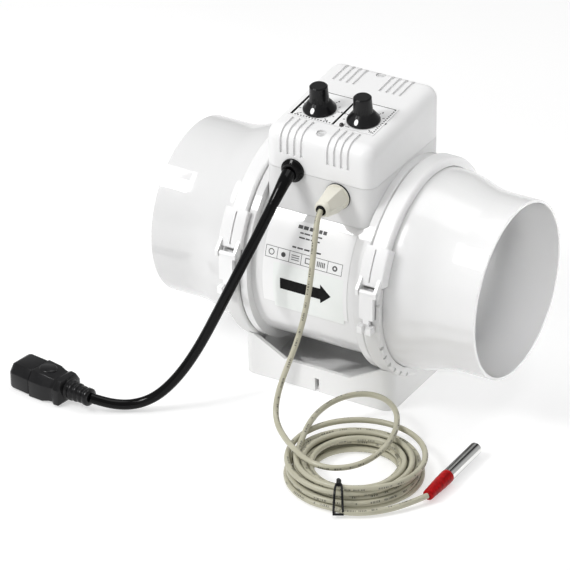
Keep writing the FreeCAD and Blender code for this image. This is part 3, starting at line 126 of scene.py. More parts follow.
makeCamera()
makeLights()
makeWorld()
print("camera and lights set")


# materials: what all surfaces share
sharedLook = {"bumpDepth": 0.0002, "edgeSamples": 4, "detail": 3, "glossScale": 3, "coatRough": 0.03,
              "softDepth": 0.003}


def newMaterial(name):
    material = bpy.data.materials.new(name)
    material.use_nodes = True
    tree = material.node_tree
    return material, tree, tree.nodes["Principled BSDF"]


def addNoise(tree, coordinates, scale, detail=2.0):
    node = tree.nodes.new("ShaderNodeTexNoise")
    node.inputs["Scale"].default_value = scale
    node.inputs["Detail"].default_value = detail
    tree.links.new(coordinates, node.inputs["Vector"])
    return node.outputs["Fac"]


def addRange(tree, value, low, high, start=0.2, end=0.8):
    node = tree.nodes.new("ShaderNodeMapRange")
    node.inputs["From Min"].default_value, node.inputs["From Max"].default_value = start, end
    node.inputs["To Min"].default_value, node.inputs["To Max"].default_value = low, high
    tree.links.new(value, node.inputs["Value"])
    return node.outputs["Result"]


def addMath(tree, operation, first, second=0):
    node = tree.nodes.new("ShaderNodeMath")
    node.operation = operation
    for socket, value in zip(node.inputs, (first, second)):
        if isinstance(value, (int, float)):
            socket.default_value = value
        else:
            tree.links.new(value, socket)
    return node.outputs["Value"]


def addBlend(tree, value, first, second):
    node = tree.nodes.new("ShaderNodeMix")
    node.data_type = "RGBA"
    for socket, colour in (("A", first), ("B", second)):
        if isinstance(colour, tuple):
            node.inputs[socket].default_value = (*colour, 1)
        else:
            tree.links.new(colour, node.inputs[socket])
    tree.links.new(value, node.inputs["Factor"])
    return node.outputs["Result"]


def addBump(tree, shader, height, strength, edge=0):
    bump = tree.nodes.new("ShaderNodeBump")
    bump.inputs["Strength"].default_value = strength
    bump.inputs["Distance"].default_value = sharedLook["bumpDepth"]
    tree.links.new(height, bump.inputs["Height"])
    if edge:
        softened = tree.nodes.new("ShaderNodeBevel")
        softened.samples = sharedLook["edgeSamples"]
        softened.inputs["Radius"].default_value = edge
        tree.links.new(softened.outputs["Normal"], bump.inputs["Normal"])
    tree.links.new(bump.outputs["Normal"], shader.inputs["Normal"])


# two near tones, uneven gloss, a fine grain and softened edges
def makeSurface(name, look):
    material, tree, shader = newMaterial(name)
    place = tree.nodes.new("ShaderNodeTexCoord").outputs["Object"]
    if "stretch" in look:
        mapping = tree.nodes.new("ShaderNodeMapping")
        mapping.inputs["Scale"].default_value = look["stretch"]
        mapping.inputs["Location"].default_value = look.get("shift", (0, 0, 0))
        tree.links.new(place, mapping.inputs["Vector"])
        place = mapping.outputs["Vector"]
    noise = addNoise(tree, place, look["toneScale"], sharedLook["detail"])
    tones = addRange(tree, noise, 0, 1, *look.get("spread", (0.2, 0.8)))
    tree.links.new(addBlend(tree, tones, *look["tones"]), shader.inputs["Base Color"])
    low, high = look["rough"]
    gloss = addRange(tree, addNoise(tree, place, look["toneScale"] * sharedLook["glossScale"]), low, high)
    tree.links.new(gloss, shader.inputs["Roughness"])
    addBump(tree, shader, addNoise(tree, place, look["grainScale"]), look["grain"], look.get("edge", 0))
    shader.inputs["Metallic"].default_value = look.get("metal", 0)
    shader.inputs["Specular IOR Level"].default_value = look.get("shine", 0.5)
    shader.inputs["Coat Weight"].default_value = look.get("coat", 0)
    shader.inputs["Coat Roughness"].default_value = sharedLook["coatRough"]
    shader.inputs["Subsurface Weight"].default_value = look.get("soft", 0)
    shader.inputs["Subsurface Radius"].default_value = (1, 1, 1)
    shader.inputs["Subsurface Scale"].default_value = sharedLook["softDepth"]
    return material


surfaceLooks = {
    "casingPlastic": {"tones": [(0.75, 0.75, 0.75), (0.77, 0.77, 0.77)], "toneScale": 9,
                      "rough": (0.32, 0.38), "grain": 0.04, "grainScale": 900, "edge": 0.0006, "coat": 1.0,
                      "shine": 0.15},
    "ductPlastic": {"tones": [(0.72, 0.72, 0.72), (0.74, 0.74, 0.74)], "toneScale": 9,
                    "rough": (0.32, 0.38), "grain": 0.04, "grainScale": 900, "edge": 0.0006, "coat": 1.0,
                    "soft": 0.3, "shine": 0.15},
    "bracketPlastic": {"tones": [(0.675, 0.675, 0.67), (0.70, 0.70, 0.695)], "toneScale": 11,
                       "rough": (0.3, 0.4), "grain": 0.08, "grainScale": 1000, "edge": 0.0006, "coat": 0.3},
    "bandPlastic": {"tones": [(0.80, 0.80, 0.80), (0.83, 0.83, 0.83)], "toneScale": 14,
                    "rough": (0.28, 0.4), "grain": 0.1, "grainScale": 1100, "edge": 0.0005, "coat": 0.4},
    # the box base and its lid are one white plastic: the box base's tones are painted darker, painted shade,
    # and the lid's painted lighter, painted light, for how the lamps fall on them
    "boxPlasticPaintedShade": {"tones": [(0.725, 0.725, 0.725), (0.75, 0.75, 0.75)], "toneScale": 12,
                   "rough": (0.38, 0.46), "grain": 0.22, "grainScale": 1600, "edge": 0.0006, "shine": 0.4},
    "lidPlasticPaintedLight": {"tones": [(0.82, 0.82, 0.82), (0.845, 0.845, 0.845)], "toneScale": 12,
                   "rough": (0.38, 0.46), "grain": 0.22, "grainScale": 1600, "edge": 0.0006, "shine": 0.4},
    "panelFilm": {"tones": [(0.86, 0.86, 0.86), (0.9, 0.9, 0.9)], "toneScale": 20, "rough": (0.4, 0.5),
                  "grain": 0.12, "grainScale": 2200, "edge": 0.0002},
    "sealRubber": {"tones": [(0.34, 0.34, 0.33), (0.42, 0.42, 0.41)], "toneScale": 40, "rough": (0.7, 0.85),
                   "grain": 0.3, "grainScale": 1500},
    "blackPlastic": {"tones": [(0.004, 0.004, 0.0045), (0.009, 0.009, 0.010)], "toneScale": 60,
                     "rough": (0.26, 0.38), "grain": 0.15, "grainScale": 2500, "edge": 0.0004, "shine": 0.1,
                     "coat": 0.35},
    "blackRubber": {"tones": [(0.001, 0.001, 0.0012), (0.003, 0.003, 0.0034)], "toneScale": 70,
                    "rough": (0.3, 0.4), "grain": 0.1, "grainScale": 1800, "edge": 0.0003, "shine": 0.02,
                    "coat": 0.3},
    "zincSteel": {"tones": [(0.62, 0.63, 0.64), (0.72, 0.73, 0.74)], "toneScale": 160, "rough": (0.3, 0.42),
                  "grain": 0.15, "grainScale": 3000, "metal": 1, "edge": 0.0001},
    # probe steel: its colour runs in dark and bright streaks along the tube, painted reflections of the room
    # on the polished metal
    "steelPaintedReflections": {"tones": [(0.04, 0.04, 0.04), (0.93, 0.93, 0.92)], "toneScale": 300,
                      "spread": (0.42, 0.56), "rough": (0.14, 0.22), "grain": 0.05, "grainScale": 1400,
                      "metal": 1, "stretch": (1, 0.01, 1), "shift": (0.3, 0, 0)},
    "screwZinc": {"tones": [(0.74, 0.74, 0.74), (0.82, 0.82, 0.82)], "toneScale": 200, "rough": (0.4, 0.5),
                  "grain": 0.2, "grainScale": 2600, "metal": 0.3, "edge": 0.0001},
    "lamination": {"tones": [(0.22, 0.22, 0.23), (0.33, 0.33, 0.35)], "toneScale": 700, "rough": (0.4, 0.55),
                   "grain": 0.6, "grainScale": 1500, "metal": 1, "stretch": (1, 0.02, 0.02)},
    "copperWire": {"tones": [(0.55, 0.2, 0.08), (0.7, 0.3, 0.13)], "toneScale": 900, "rough": (0.25, 0.35),
                   "grain": 0.8, "grainScale": 1300, "metal": 1},
    "boardGreen": {"tones": [(0.02, 0.13, 0.06), (0.03, 0.19, 0.09)], "toneScale": 120, "rough": (0.3, 0.45),
                   "grain": 0.3, "grainScale": 900},
    "terminalGrey": {"tones": [(0.3, 0.33, 0.32), (0.37, 0.4, 0.39)], "toneScale": 60, "rough": (0.4, 0.5),
                     "grain": 0.15, "grainScale": 1500, "edge": 0.0003},
    "capacitorGrey": {"tones": [(0.5, 0.5, 0.47), (0.58, 0.58, 0.55)], "toneScale": 50, "rough": (0.3, 0.4),
                      "grain": 0.1, "grainScale": 1200, "edge": 0.0003},
    "darkLens": {"tones": [(0.01, 0.01, 0.011), (0.03, 0.02, 0.02)], "toneScale": 300, "rough": (0.08, 0.15),
                 "grain": 0.02, "grainScale": 2000, "coat": 0.6},
    "glandBeige": {"tones": [(0.70, 0.68, 0.59), (0.77, 0.75, 0.66)], "toneScale": 70, "rough": (0.3, 0.42),
                   "grain": 0.15, "grainScale": 1600, "edge": 0.0005},
    "shrinkRed": {"tones": [(0.22, 0.001, 0.002), (0.50, 0.004, 0.006)], "toneScale": 320,
                  "rough": (0.26, 0.42), "grain": 0.7, "grainScale": 420, "shine": 0.12,
                  "spread": (0.35, 0.65)},
    "labelFilm": {"tones": [(0.83, 0.83, 0.83), (0.85, 0.85, 0.85)], "toneScale": 16, "rough": (0.3, 0.38),
                  "grain": 0.05, "grainScale": 1800},
    "printInk": {"tones": [(0.006, 0.006, 0.006), (0.013, 0.013, 0.013)], "toneScale": 400,
                 "rough": (0.4, 0.55), "grain": 0.1, "grainScale": 2600, "shine": 0.06},
    "greyInk": {"tones": [(0.02, 0.02, 0.02), (0.09, 0.09, 0.09)], "toneScale": 500, "rough": (0.45, 0.6),
                "grain": 0.1, "grainScale": 2600},
    "arrowFilm": {"tones": [(0.80, 0.83, 0.81), (0.84, 0.86, 0.84)], "toneScale": 60, "rough": (0.3, 0.4),
                  "grain": 0.06, "grainScale": 2400},
    "markWhite": {"tones": [(0.85, 0.85, 0.85), (0.92, 0.92, 0.92)], "toneScale": 200, "rough": (0.35, 0.5),
                  "grain": 0.1, "grainScale": 2000},
}
surfaces = {name: makeSurface(name, look) for name, look in surfaceLooks.items()}

nodeFinish = {
    "casingPlastic": ["casing", "impeller", "motor_housing",
                      *(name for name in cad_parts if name.startswith("guide_vane_"))],
    "ductPlastic": ["inlet_spigot", "outlet_spigot"],
    "bracketPlastic": ["base_bracket"],
    "bandPlastic": ["inlet_clamp_band", "outlet_clamp_band", "inlet_latch", "outlet_latch"],
    "lidPlasticPaintedLight": ["box_lid"],
    "boxPlasticPaintedShade": ["box_base"],
    "panelFilm": ["dial_panel"],
    "sealRubber": ["inlet_seal", "outlet_seal"],
    "blackPlastic": ["temperature_knob", "speed_knob"],
    "blackRubber": ["mains_bushing", "gland_washer", "gland_seal"],
    "zincSteel": ["inlet_hinge_pin", "outlet_hinge_pin", "inlet_latch_pin", "outlet_latch_pin",
                  "board_screws", "motor_shaft", "front_bearing", "rear_bearing", "temperature_spindle",
                  "speed_spindle", "temperature_potentiometer", "speed_potentiometer", "triac"],
    "screwZinc": ["lid_screws"],
    "lamination": ["stator_core", "rotor_core"],
    "copperWire": ["stator_windings"],
    "boardGreen": ["circuit_board"],
    "terminalGrey": ["terminal_block"],
    "capacitorGrey": ["run_capacitor"],
    "darkLens": ["indicator_lamp"],
    "glandBeige": ["sensor_gland"],
    "labelFilm": ["rating_label"],
    "printInk": ["flow_arrow"],
    "steelPaintedReflections": ["probe_tip"],
}
for finish, names in nodeFinish.items():
    for name in names:
        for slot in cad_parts[name].material_slots:
            slot.material = surfaces[finish]
print("materials made")


def meshOf(shape, name, smooth=True):
    mesh = bpy.data.meshes.new(name)
    shape.to_mesh(mesh)
    shape.free()
    if smooth:
        mesh.shade_smooth()
    return mesh


# floor
floorLook = {"size": 12, "drop": 0.0006, "glow": 0.52, "tones": [(0.52, 0.52, 0.52), (0.56, 0.56, 0.56)],
             "toneScale": 3, "rough": 0.7}


def makeFloor():
    material, tree, shader = newMaterial("paleFloor")
    place = tree.nodes.new("ShaderNodeTexCoord").outputs["Object"]
    tones = addRange(tree, addNoise(tree, place, floorLook["toneScale"]), 0, 1)
    tree.links.new(addBlend(tree, tones, *floorLook["tones"]), shader.inputs["Base Color"])
    shader.inputs["Roughness"].default_value = floorLook["rough"]
    shader.inputs["Emission Color"].default_value = (1, 1, 1, 1)
    shader.inputs["Emission Strength"].default_value = floorLook["glow"]
    shape = bmesh.new()
    bmesh.ops.create_grid(shape, x_segments=2, y_segments=2, size=floorLook["size"] / 2)
    bmesh.ops.translate(shape, verts=shape.verts, vec=(0, 0, -floorLook["drop"]))
    mesh = meshOf(shape, "floor", False)
    mesh.materials.append(material)
    floor = linked("floor", mesh)


makeFloor()


# helpers for new pieces
mergeGap = 0.00001  # corners nearer than this become one
printMergeGap = 0.000002
sharpAngle = 40  # degrees between faces that keep their edge


def addPiece(name, data, finish, body, slot, *nodes):
    piece = linked(name, data)
    data.materials.append(finish)
    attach(piece, body)
    if nodes:
        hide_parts(*nodes)
    return piece


# round shape about the Y axis from pairs of place and radius, closed on the axis at both ends
def turned(profile, steps=48):
    shape = bmesh.new()
    stations = [(profile[0][0], 0)] + profile + [(profile[-1][0], 0)]
    verts = [shape.verts.new((0, place, radius)) for place, radius in stations]
    edges = [shape.edges.new(pair) for pair in zip(verts, verts[1:])]
    bmesh.ops.spin(shape, geom=verts + edges, cent=(0, 0, 0), axis=(0, 1, 0), angle=2 * math.pi, steps=steps,
                   use_merge=True)
    bmesh.ops.remove_doubles(shape, verts=shape.verts, dist=mergeGap)
    bmesh.ops.recalc_face_normals(shape, faces=shape.faces)
    return shape


def newCurve(name):
    data = bpy.data.curves.new(name, "CURVE")
    data.dimensions = "3D"
    return data


def addLine(data, points, kind="NURBS"):
    line = data.splines.new(kind)
    line.points.add(len(points) - 1)
    for spot, point in zip(line.points, points):
        spot.co = (*point, 1)
    line.order_u = 3
    return line


def cordLine(points, name):
    data = newCurve(name)
    data.resolution_u = 8  # steps from one point to the next
    addLine(data, points).use_endpoint_u = True
    return data


# points along the smooth line of a route
def pathOf(points):
    data = cordLine(points, "line")
    holder = bpy.data.objects.new("line", data)
    mesh = bpy.data.meshes.new_from_object(holder)
    path = [vertex.co.copy() for vertex in mesh.vertices]
    bpy.data.objects.remove(holder)
    bpy.data.curves.remove(data)
    bpy.data.meshes.remove(mesh)
    return path


def lengthOf(path):
    return sum((after - before).length for before, after in zip(path, path[1:]))


def thicken(data, radius, sides=4):
    data.bevel_depth = radius
    data.bevel_resolution = sides
    data.use_fill_caps = True


# rod along points, with a radius at each
def roundBar(points, radii, name):
    data = newCurve(name)
    line = addLine(data, points, "POLY")
    for spot, radius in zip(line.points, radii):
        spot.radius = radius
    thicken(data, 1)
    return data


# mesh of an object with its modifiers worked in
def worked(holder):
    graph = bpy.context.evaluated_depsgraph_get()
    mesh = bpy.data.meshes.new_from_object(holder.evaluated_get(graph))
    mesh.name = holder.name
    return mesh


# flat shapes for print: bars, rings, discs and figures, all in one plane and then given a thickness
def addBar(shape, left, front, right, rear, cells=1):
    place = Matrix.Translation(((left + right) / 2, (front + rear) / 2, 0))
    place = place @ Matrix.Diagonal((right - left, rear - front, 1, 1))
    bmesh.ops.create_grid(shape, x_segments=1, y_segments=cells, size=0.5, matrix=place)


def addFrame(shape, left, front, right, rear, wide, cells=1):
    addBar(shape, left, front, right, front + wide)
    addBar(shape, left, rear - wide, right, rear)
    addBar(shape, left, front + wide, left + wide, rear - wide, cells)
    addBar(shape, right - wide, front + wide, right, rear - wide, cells)


def addRing(shape, across, along, inner, outer, steps=24):
    rims = []
    for radius in (inner, outer):
        made = bmesh.ops.create_circle(shape, segments=steps, radius=radius,
                                       matrix=Matrix.Translation((across, along, 0)))
        rims += list({edge for vert in made["verts"] for edge in vert.link_edges})
    bmesh.ops.bridge_loops(shape, edges=rims)


def addDisc(shape, across, along, radius, steps=20):
    bmesh.ops.create_circle(shape, segments=steps, radius=radius, cap_ends=True,
                            matrix=Matrix.Translation((across, along, 0)))


def addFigure(shape, text, across, along, height, weight=0.04):
    data = bpy.data.curves.new("figure", "FONT")
    data.body = text
    data.size = height
    data.offset = weight
    data.align_x, data.align_y = "CENTER", "CENTER"
    data.resolution_u = 3
    holder = bpy.data.objects.new("figure", data)
    mesh = bpy.data.meshes.new_from_object(holder)
    mesh.transform(Matrix.Translation((across, along, 0)))
    shape.from_mesh(mesh)
    bpy.data.objects.remove(holder)
    bpy.data.curves.remove(data)
    bpy.data.meshes.remove(mesh)


def thickenFlat(shape, depth):
    bmesh.ops.remove_doubles(shape, verts=shape.verts, dist=printMergeGap)
    for face in shape.faces:
        if face.normal.z < 0:
            face.normal_flip()
    bmesh.ops.solidify(shape, geom=shape.faces[:], thickness=-depth)
    bmesh.ops.recalc_face_normals(shape, faces=shape.faces)


# mains cord and its strain relief
mainsCord = {
    "diameter": 0.007,
    "exit": (-0.018, -0.0565, 0.1636),
    "route": [(-0.018, -0.0565, 0.1636), (-0.0177, -0.0625, 0.161), (-0.0181, -0.0695, 0.1554),
              (-0.0202, -0.0775, 0.1456), (-0.025, -0.0855, 0.1296), (-0.0316, -0.0927, 0.1112),
              (-0.039, -0.0988, 0.0916), (-0.0468, -0.104, 0.0718), (-0.054, -0.1088, 0.054),
              (-0.0606, -0.1134, 0.0398), (-0.067, -0.1176, 0.0284), (-0.0738, -0.1216, 0.0188),
              (-0.081, -0.1256, 0.0112), (-0.089, -0.1298, 0.0062), (-0.0975, -0.1346, 0.0041),
              (-0.1052, -0.1394, 0.0049), (-0.1124, -0.1438, 0.0072), (-0.1196, -0.1466, 0.0093)],
    "sleeve": [(0.0, 0.0048), (0.006, 0.0045), (0.015, 0.004), (0.024, 0.0036)],
}


def makeMainsCord():
    data = cordLine(mainsCord["route"], "mainsCord")
    thicken(data, mainsCord["diameter"] / 2, 5)
    return addPiece("mainsCord", data, surfaces["blackRubber"], "housing", "mains_black", "mains_cord")


mains = makeMainsCord()
mainsPath = pathOf(mainsCord["route"])


# tapered sleeve around the first stretch of the cord
def makeSleeve():
    points, radii, gone = [], [], 0
    stations = mainsCord["sleeve"]
    for before, after in zip(mainsPath, mainsPath[1:]):
        if gone > stations[-1][0]:
            break
        low = max(index for index, station in enumerate(stations) if station[0] <= gone)
        (start, wide), (end, narrow) = stations[low], stations[min(low + 1, len(stations) - 1)]
        share = (gone - start) / (end - start) if end > start else 0
        points.append(before)
        radii.append(wide + (narrow - wide) * share)
        gone += (after - before).length
    data = roundBar(points, radii, "strainRelief")
    return addPiece("strainRelief", data, surfaces["blackRubber"], "housing", "black_rubber")


makeSleeve()

# appliance plug: the boot is turned, the body is grown face by face along its axis
plugLook = {
    "at": (-0.1196, -0.1466, 0.0093), "turn": 171,
    "section": [(1, -1), (1, 0.3), (0.66, 1), (-0.66, 1), (-1, 0.3), (-1, -1)],
    # place along the plug, half width and half height
    "stations": [(0.0185, 0.0068, 0.0064), (0.0194, 0.0112, 0.0084), (0.0236, 0.0115, 0.0087),
                 (0.0256, 0.0104, 0.0078), (0.0284, 0.0108, 0.008), (0.033, 0.0124, 0.0089),
                 (0.0444, 0.0129, 0.0092), (0.0447, 0.0118, 0.0082), (0.0453, 0.0118, 0.0082),
                 (0.0456, 0.0123, 0.0085), (0.0596, 0.0122, 0.0084), (0.0616, 0.0116, 0.0079),
                 (0.0629, 0.0106, 0.007), (0.0635, 0.0093, 0.0059)],
    # rounding of edges between faces that turn by more than the angle
    "edge": {"width": 0.0007, "segments": 3, "angle": 25},
    "slots": [(-0.007, -0.0022), (0, 0.0022), (0.007, -0.0022)], "slotSize": (0.0022, 0.005),
    "slotDepth": 0.012,
    # raised grip on the top of the body
    "grip": {"at": (0.0375, 0, 0.0086), "profile": [(0, 0.0052), (0.0008, 0.005), (0.0013, 0.0044)],
             "stretch": (1.25, 1.15, 1), "steps": 40},
    # place along the plug and radius: a rim, then rings with grooves between them
    "boot": [(0.0, 0.0036), (0.0004, 0.0058), (0.001, 0.0062), (0.0034, 0.0062), (0.0038, 0.0058),
             (0.0041, 0.0046), (0.0053, 0.0047), (0.0056, 0.0056), (0.0061, 0.0059), (0.0075, 0.006),
             (0.0079, 0.0057), (0.0082, 0.0049), (0.0094, 0.005), (0.0097, 0.006), (0.0102, 0.0064),
             (0.0116, 0.0065), (0.012, 0.0062), (0.0123, 0.0053), (0.0135, 0.0054), (0.0138, 0.0065),
             (0.0143, 0.0069), (0.0157, 0.007), (0.0161, 0.0067), (0.0164, 0.006), (0.0176, 0.0062),
             (0.0179, 0.007), (0.0184, 0.0073), (0.0197, 0.0074)],
}


def plugPlace():
    return Matrix.Translation(plugLook["at"]) @ Matrix.Rotation(math.radians(plugLook["turn"]), 4, "Z")


def makePlugBoot():
    shape = turned(plugLook["boot"])
    bmesh.ops.transform(shape, verts=shape.verts, matrix=plugPlace() @ Matrix.Rotation(-math.pi / 2, 4, "Z"))
    return addPiece("plugBoot", meshOf(shape, "plugBoot"), surfaces["blackPlastic"], "housing",
                    "mains_black", "plug_boot")


def growBody():
    shape = bmesh.new()
    place, width, height = plugLook["stations"][0]
    tip = shape.faces.new([shape.verts.new((place, across * width, up * height))
                           for across, up in plugLook["section"]])
    bmesh.ops.duplicate(shape, geom=[tip])  # this face stays behind and closes the rear
    for after, wide, high in plugLook["stations"][1:]:
        tip = bmesh.ops.extrude_discrete_faces(shape, faces=[tip])["faces"][0]
        bmesh.ops.scale(shape, verts=tip.verts, vec=(1, wide / width, high / height))
        bmesh.ops.translate(shape, verts=tip.verts, vec=(after - place, 0, 0))
        place, width, height = after, wide, high
    bmesh.ops.remove_doubles(shape, verts=shape.verts, dist=mergeGap)
    bmesh.ops.recalc_face_normals(shape, faces=shape.faces)
    return meshOf(shape, "plugBody", False)


def slotBoxes():
    shape = bmesh.new()
    front = plugLook["stations"][-1][0]
    size = Matrix.Diagonal((2 * plugLook["slotDepth"], *plugLook["slotSize"], 1))
    for across, up in plugLook["slots"]:
        bmesh.ops.create_cube(shape, size=1, matrix=Matrix.Translation((front, across, up)) @ size)
    return meshOf(shape, "slots", False)


def makeGrip():
    look = plugLook["grip"]
    grip = turned(look["profile"], look["steps"])
    raised = Matrix.Translation(look["at"]) @ Matrix.Diagonal((*look["stretch"], 1))
    bmesh.ops.transform(grip, verts=grip.verts, matrix=raised @ Matrix.Rotation(math.pi / 2, 4, "X"))
    return grip


def makePlugBody():
    body, tool = linked("plugBody", growBody()), linked("slots", slotBoxes())
    edge = body.modifiers.new("edge", "BEVEL")
    edge.width, edge.segments = plugLook["edge"]["width"], plugLook["edge"]["segments"]
    edge.limit_method, edge.angle_limit = "ANGLE", math.radians(plugLook["edge"]["angle"])
    cut = body.modifiers.new("cut", "BOOLEAN")
    cut.object, cut.solver = tool, "EXACT"
    mesh = worked(body)
    for holder in (body, tool):
        bpy.data.objects.remove(holder)
    shape = makeGrip()
    shape.from_mesh(mesh)
    shape.to_mesh(mesh)
    shape.free()
    mesh.transform(plugPlace())
    mesh.name = "plugBody"
    mesh.shade_smooth()
    mesh.set_sharp_from_angle(angle=math.radians(sharpAngle))
    return addPiece("plugBody", mesh, surfaces["blackPlastic"], "housing", "mains_black", "plug_body")


plugBoot, plugBody = makePlugBoot(), makePlugBody()
print("mains cord and plug laid")


# round flange of the gland, in front of its washer
flangeLook = {"centre": (0.0156, -0.0516, 0.153),
              "profile": [(-0.0009, 0.008), (-0.0008, 0.0088), (-0.0006, 0.0091), (0, 0.0091)]}


def makeFlange():
    shape = turned(flangeLook["profile"])
    bmesh.ops.translate(shape, verts=shape.verts, vec=flangeLook["centre"])
    mesh = meshOf(shape, "glandFlange")
    mesh.set_sharp_from_angle(angle=math.radians(sharpAngle))
    return addPiece("glandFlange", mesh, surfaces["glandBeige"], "housing", "gland_beige")


makeFlange()


# sensor cord, one line from the gland through the coil to the probe
sensorCord = {
    "diameter": 0.0039,
    "exit": (0.0156, -0.0732, 0.153),
    "lead": [(0.0156, -0.0732, 0.153), (0.0161, -0.078, 0.1504), (0.0176, -0.0832, 0.1432),
             (0.0202, -0.0913, 0.129), (0.022, -0.0988, 0.112), (0.0222, -0.1055, 0.0946),
             (0.0197, -0.1108, 0.0768), (0.0148, -0.1142, 0.0594), (0.0102, -0.1168, 0.044),
             (0.008, -0.1196, 0.0304), (0.0108, -0.1254, 0.0224), (0.0178, -0.1326, 0.0189),
             (0.0286, -0.1414, 0.018), (0.0416, -0.1502, 0.0178), (0.0552, -0.157, 0.0177),
             (0.0704, -0.1568, 0.0177), (0.0826, -0.1466, 0.0177), (0.0882, -0.13, 0.0177),
             (0.0878, -0.1096, 0.0177), (0.082, -0.0886, 0.0177), (0.071, -0.0708, 0.0177),
             (0.0556, -0.0616, 0.0177), (0.04, -0.065, 0.0177), (0.0306, -0.0796, 0.0177),
             (0.0278, -0.0982, 0.0177), (0.03, -0.1166, 0.0172)],
    "tail": [(0.0915, -0.1784, 0.003), (0.1034, -0.1722, 0.0026), (0.1146, -0.1616, 0.0027),
             (0.1238, -0.1492, 0.0037), (0.1304, -0.1364, 0.00475)],
    "jacket": {"tones": [(0.43, 0.415, 0.315), (0.53, 0.51, 0.395)], "toneScale": 55, "rough": (0.3, 0.44),
               "glossScale": 300, "grain": 0.2, "grainScale": 1400},
    # fine print: its lines, angle and half width round the cable, its turns along the whole cord, how
    # often words and strokes come, and how dark it is
    "print": {"lines": 2, "middle": 0.6, "width": 0.11, "twist": 6.3, "words": 420, "strokes": 5200,
              "share": 0.85, "ink": (0.03, 0.03, 0.03)},
}
# all lengths of the coil in millimetres, all angles in degrees
coilLook = {
    "centre": (74, -131), "startAngle": 184, "endAngle": 290, "pointsPerTurn": 14,
    # radius and height of each turn, from the top of the coil to its foot
    "turns": [(38, 13.6), (42, 13.8), (36, 12.6), (30, 11), (34, 8.6), (40, 8.8), (45, 8.6), (41, 5),
              (35.5, 4.6), (30, 3), (35, 2.2), (40.5, 2.2), (46.8, 2.6)],
    "bulge": {"middle": 458, "span": 104, "reach": 20, "lift": 3.4}, "wander": 1.1, "seed": 5,
    "rear": {"angle": 90, "drawn": 0.04},
    # how the turns are pushed apart: distance in diameters, rounds, evening out and sinking in each round
    "settle": {"distance": 1.03, "rounds": 120, "even": 0.08, "sink": 0.02, "lowest": 2.0, "highest": 16},
}


def coilAngles():
    start, step = coilLook["startAngle"], 360 / coilLook["pointsPerTurn"]
    last = coilLook["endAngle"] + 360 * (len(coilLook["turns"]) - 1)
    return [start + step * count for count in range(int((last - start) / step) + 1)]


# loose turns: a spiral in and out through the layers, each turn a little oval and off centre
def looseTurns(angles):
    look = coilLook
    chance = random.Random(look["seed"])
    swings = [[chance.uniform(-1, 1), chance.uniform(0, 360), chance.uniform(-1, 1), chance.uniform(0, 360)]
              for _ in look["turns"]]
    places = []
    for angle in angles:
        turn = (angle - look["startAngle"]) / 360
        index = min(int(turn), len(look["turns"]) - 2)
        share = min(turn - index, 1)
        radius, height = (before + (after - before) * share
                          for before, after in zip(look["turns"][index], look["turns"][index + 1]))
        for number, weight in ((index, 1 - share), (index + 1, share)):
            size, phase, oval, ovalPhase = swings[number]
            sway = size * math.cos(math.radians(angle - phase))
            sway += oval * math.cos(math.radians(2 * angle - ovalPhase))
            radius += look["wander"] * weight * sway
        radius *= 1 - look["rear"]["drawn"] * max(0, math.cos(math.radians(angle - look["rear"]["angle"])))
        near = max(0, 1 - abs(angle - look["bulge"]["middle"]) / look["bulge"]["span"])
        near = near * near * (3 - 2 * near)
        places.append([radius + look["bulge"]["reach"] * near, height + look["bulge"]["lift"] * near])
    return places


def pushApart(first, second, spacing):
    across, up = second[0] - first[0], second[1] - first[1]
    gap = math.hypot(across, up)
    if gap < spacing:
        push = (spacing - gap) / 2 / max(gap, 0.01)
        first[0] -= across * push
        first[1] -= up * push
        second[0] += across * push
        second[1] += up * push


def settleTurns(places):
    look = coilLook["settle"]
    perTurn = coilLook["pointsPerTurn"]
    spacing = sensorCord["diameter"] * 1000 * look["distance"]
    for _ in range(look["rounds"]):
        for first in range(len(places)):
            for second in range(first + perTurn, len(places), perTurn):
                pushApart(places[first], places[second], spacing)
        for index in range(1, len(places) - 1):
            for axis in (0, 1):
                middle = (places[index - 1][axis] + places[index + 1][axis]) / 2
                places[index][axis] += look["even"] * (middle - places[index][axis])
            places[index][1] = min(max(places[index][1] - look["sink"], look["lowest"]), look["highest"])


def coilPoints():
    angles = coilAngles()
    places = looseTurns(angles)
    settleTurns(places)
    across, along = coilLook["centre"]
    return [((across + radius * math.cos(math.radians(angle))) / 1000,
             (along + radius * math.sin(math.radians(angle))) / 1000, height / 1000)
            for angle, (radius, height) in zip(angles, places)]


# mask of the broken lines of print that run along the cord
def addPrint(tree, along, around):
    look = sensorCord["print"]
    around = addMath(tree, "ADD", around, addMath(tree, "MULTIPLY", along, look["twist"]))
    around = addMath(tree, "FRACT", addMath(tree, "MULTIPLY", around, look["lines"]))
    offset = addMath(tree, "ABSOLUTE", addMath(tree, "SUBTRACT", around, look["middle"]))
    band = addMath(tree, "LESS_THAN", offset, look["width"])
    marks = []
    for name in ("words", "strokes"):
        line = tree.nodes.new("ShaderNodeTexNoise")
        line.noise_dimensions = "1D"
        line.inputs["Scale"].default_value = look[name]
        line.inputs["Detail"].default_value = 0
        tree.links.new(along, line.inputs["W"])
        marks.append(addMath(tree, "GREATER_THAN", line.outputs["Fac"], 0.5))
    return addMath(tree, "MULTIPLY", band, addMath(tree, "MULTIPLY", *marks))


